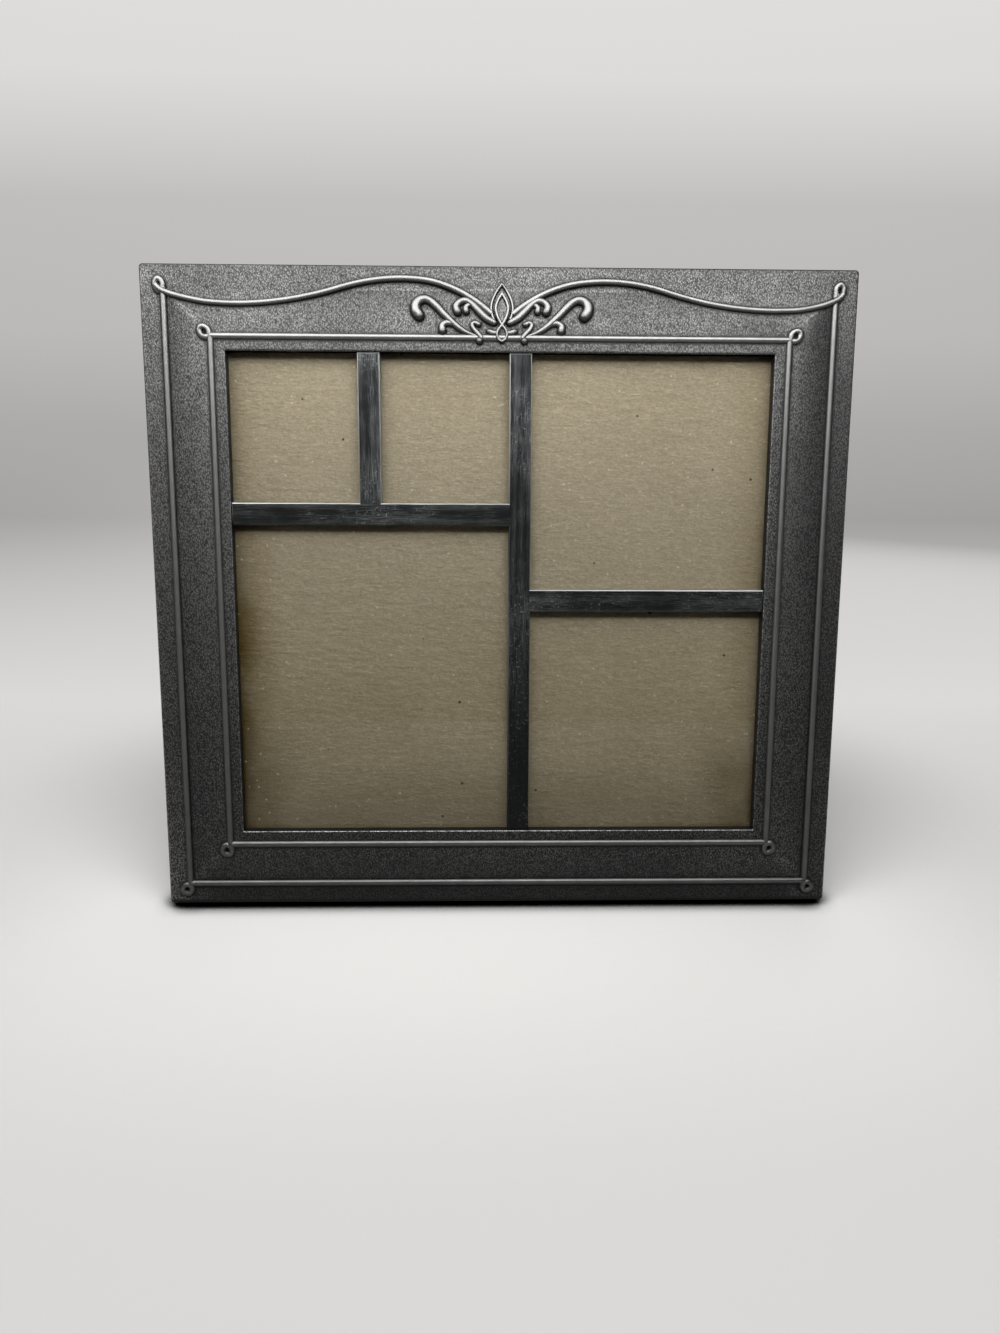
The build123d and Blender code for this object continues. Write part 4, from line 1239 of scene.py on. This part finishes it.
screwPiece = newPiece("slottedScrews", [onFace(u, v + halfHeight, screws["seat"]) for u, v in clipPlaces])
slots = np.random.default_rng(screws["seed"]).uniform(0, math.pi, len(clipPlaces))
turns = [(rearTurn @ Matrix.Rotation(angle, 3, "Z")).to_euler() for angle in slots]
setPoints(screwPiece, "turn", [tuple(t) for t in turns], "FLOAT_VECTOR")
screwInputs = {name: size * mm for name, size in screws["sizes"].items()}
settle(screwPiece, screwTree(), {
    **screwInputs, "Foot lift": 0.0, "Crest lift": 1.0, "Material": steels["screwSteel"],
})
screwPiece.data.set_sharp_from_angle(angle=math.radians(screws["sharpOver"]))
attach(screwPiece, "frame")
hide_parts("clip_screws")

for piece in castPieces:
    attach(piece, "frame")
    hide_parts("cast_frame")
print("casting made of", len(castPieces), "pieces")

# Velvet-covered boards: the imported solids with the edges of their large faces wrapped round
wrapped = {"back_panel": ("velvetPanel", "frame", 0.7), "easel_leg": ("velvetLeg", "leg", 0.6)}
wrapping = {
    "flatUnder": 1.0, "edgeOver": 60.0, "faceCorners": 12, "shortest": 0.0003,
    "segments": 4, "sharpOver": 40.0,
}


def isWrapped(edge):
    if len(edge.link_faces) != 2 or edge.calc_length() <= wrapping["shortest"]:
        return False
    largest = max(len(f.verts) for f in edge.link_faces)
    return edge.calc_face_angle() > math.radians(wrapping["edgeOver"]) and largest > wrapping["faceCorners"]


for nodeName, (name, body, easing) in wrapped.items():
    shape = bmesh.new()
    shape.from_mesh(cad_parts[nodeName].data)
    bmesh.ops.remove_doubles(shape, verts=shape.verts, dist=1e-6)
    flat = math.radians(wrapping["flatUnder"])
    bmesh.ops.dissolve_limit(
        shape, angle_limit=flat, verts=shape.verts, edges=shape.edges, delimit={"NORMAL"}
    )
    shape.normal_update()
    bmesh.ops.bevel(
        shape, geom=[e for e in shape.edges if isWrapped(e)], offset=easing * mm,
        segments=wrapping["segments"], profile=0.5, affect="EDGES", clamp_overlap=True
    )
    piece = newPiece(name)
    shape.to_mesh(piece.data)
    shape.free()
    piece.data.materials.append(velvet)
    setSmooth(piece)
    piece.data.set_sharp_from_angle(angle=math.radians(wrapping["sharpOver"]))
    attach(piece, body)
    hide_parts(nodeName)
print("velvet boards made")

# Stage, in metres: a floor that sweeps up into a backdrop; its tone along the sweep from front to top paints
# the light's fall-off and shade
stage = {
    "half": 4.0, "front": -8.0, "bend": 0.5, "radius": 0.45, "top": 1.8, "bendRows": 17,
    "colour": (0.49, 0.486, 0.478), "cloud": (3.0, 3.0, 0.5), "cloudShade": 0.97,
    "bounce": (0.05, 0.05, 0.05), "black": (0.0, 0.0, 0.0), "contact": 0.0075, "contactSamples": 8,
    "contactFade": (0.42, 1.0),
    "glowShare": 0.75, "footHalf": {"X": 0.115, "Y": 0.035}, "glowFade": 0.13,
    "sweepLength": 1.6, "tint": (1.0, 0.985, 0.97),
    "tones": [(0.0, 0.66), (0.1, 0.80), (0.18, 0.70), (0.36, 0.43), (0.5, 0.5), (0.62, 0.61),
              (0.76, 0.65), (0.86, 0.90), (1.0, 0.95)],
}


# Pale paper: it shows a painted tone of light and shade to the eye and in the metal, and a painted contact
# shadow round the frame's foot
def paperMaterial():
    material, flow = newMaterial("palePaper")
    place = objectPlace(flow)
    rays = [flow.node("ShaderNodeLightPath", None, None, f"Is {kind} Ray")
            for kind in ("Camera", "Glossy", "Transmission")]
    seen = (rays[0] + rays[1] + rays[2]).clamped()
    clouded = [c * stage["cloudShade"] for c in stage["colour"]]
    shade = place.noise(*stage["cloud"]).blend(clouded, stage["colour"])
    shade = seen.blend(stage["bounce"], shade)
    settings = {"samples": stage["contactSamples"]}
    near = flow.node("ShaderNodeAmbientOcclusion", settings, {"Distance": stage["contact"]}, "AO")
    shade = near.between(*stage["contactFade"]).blend(stage["black"], shade)
    paper = flow.node("ShaderNodeBsdfDiffuse", None, {"Color": shade})
    along = (place.channel("Y") + place.channel("Z")) / stage["sweepLength"]
    tones = along.ramp([(at, [tone * t for t in stage["tint"]]) for at, tone in stage["tones"]])
    glow = flow.node("ShaderNodeEmission", None, {"Color": tones, "Strength": 1.0})
    halves = stage["footHalf"].items()
    beside = [(place.channel(axis).absolute() - half).larger(0.0) for axis, half in halves]
    away = (beside[0] * beside[0] + beside[1] * beside[1]) ** 0.5
    share = seen * away.between(0.0, stage["glowFade"]) * stage["glowShare"]
    return finishMaterial(material, share.mixed(paper, glow))


turn = np.linspace(0, math.pi / 2, stage["bendRows"])
wall = stage["bend"] + stage["radius"]
sweepY = [stage["front"], *(stage["bend"] + stage["radius"] * np.sin(turn)), wall]
sweepZ = [0.0, *(stage["radius"] * (1 - np.cos(turn))), stage["top"]]
points = [(x, y, z) for y, z in zip(sweepY, sweepZ) for x in (-stage["half"], stage["half"])]
faces = [(2 * k, 2 * k + 1, 2 * k + 3, 2 * k + 2) for k in range(len(sweepY) - 1)]
piece = newPiece("paperSweep", points, faces)
piece.data.materials.append(paperMaterial())
setSmooth(piece)

# Lamps: place, aim and size in metres, power in watts
lamps = {
    "frontBar": ((-0.01, -0.30, 0.368), (0.0, -0.02, 0.09), (0.64, 0.05), 1.0),
    "topPanel": ((-0.015, -0.12, 0.36), (0.0, -0.04, 0.0), (0.44, 0.2), 2.0),
    "leftSheet": ((-0.36, -0.26, 0.40), (0.0, 0.0, 0.14), (0.24, 0.24), 0.58),
    "rightSheet": ((0.38, -0.26, 0.40), (0.0, 0.0, 0.16), (0.24, 0.24), 0.07),
    "backWash": ((0.0, 0.62, 0.85), (0.0, 0.95, 0.5), (1.6, 0.2), 2.4),
    "rearSheet": ((0.16, 0.55, 0.2), (0.0, 0.03, 0.13), (0.8, 0.24), 3.0),
}
for name, (place, aim, size, power) in lamps.items():
    light = bpy.data.lights.new(name, "AREA")
    light.shape = "RECTANGLE"
    light.size, light.size_y = size
    light.energy = power
    holder = bpy.data.objects.new(name, light)
    holder.location = place
    holder.rotation_euler = (Vector(aim) - Vector(place)).to_track_quat("-Z", "Y").to_euler()
    bpy.context.scene.collection.objects.link(holder)

room = {"Color": (0.95, 0.97, 1.0, 1.0), "Strength": 0.03}
world = bpy.data.worlds.new("softRoom")
bpy.context.scene.world = world
world.use_nodes = True
for name, value in room.items():
    world.node_tree.nodes["Background"].inputs[name].default_value = value

# Camera: place in metres, degrees down, to the right and turned on its own line, lens in millimetres
view = {
    "place": (-0.0084, -0.3393, 0.2136), "down": 21.28, "right": 1.46, "turn": 0.55,
    "lens": 27.0, "sensor": 36.0, "nearest": 0.01,
}
cameraData = bpy.data.cameras.new("front")
cameraData.lens = view["lens"]
cameraData.sensor_width = view["sensor"]
cameraData.clip_start = view["nearest"]
camera = bpy.data.objects.new("front", cameraData)
camera.location = view["place"]
heading = Matrix.Rotation(-math.radians(view["right"]), 3, "Z")
pitch = Matrix.Rotation(math.radians(90 - view["down"]), 3, "X")
roll = Matrix.Rotation(math.radians(view["turn"]), 3, "Z")
camera.rotation_euler = (heading @ pitch @ roll).to_euler()
bpy.context.scene.collection.objects.link(camera)
bpy.context.scene.camera = camera
bpy.context.scene.view_settings.view_transform = "Standard"
print("stage, lamps and camera set")
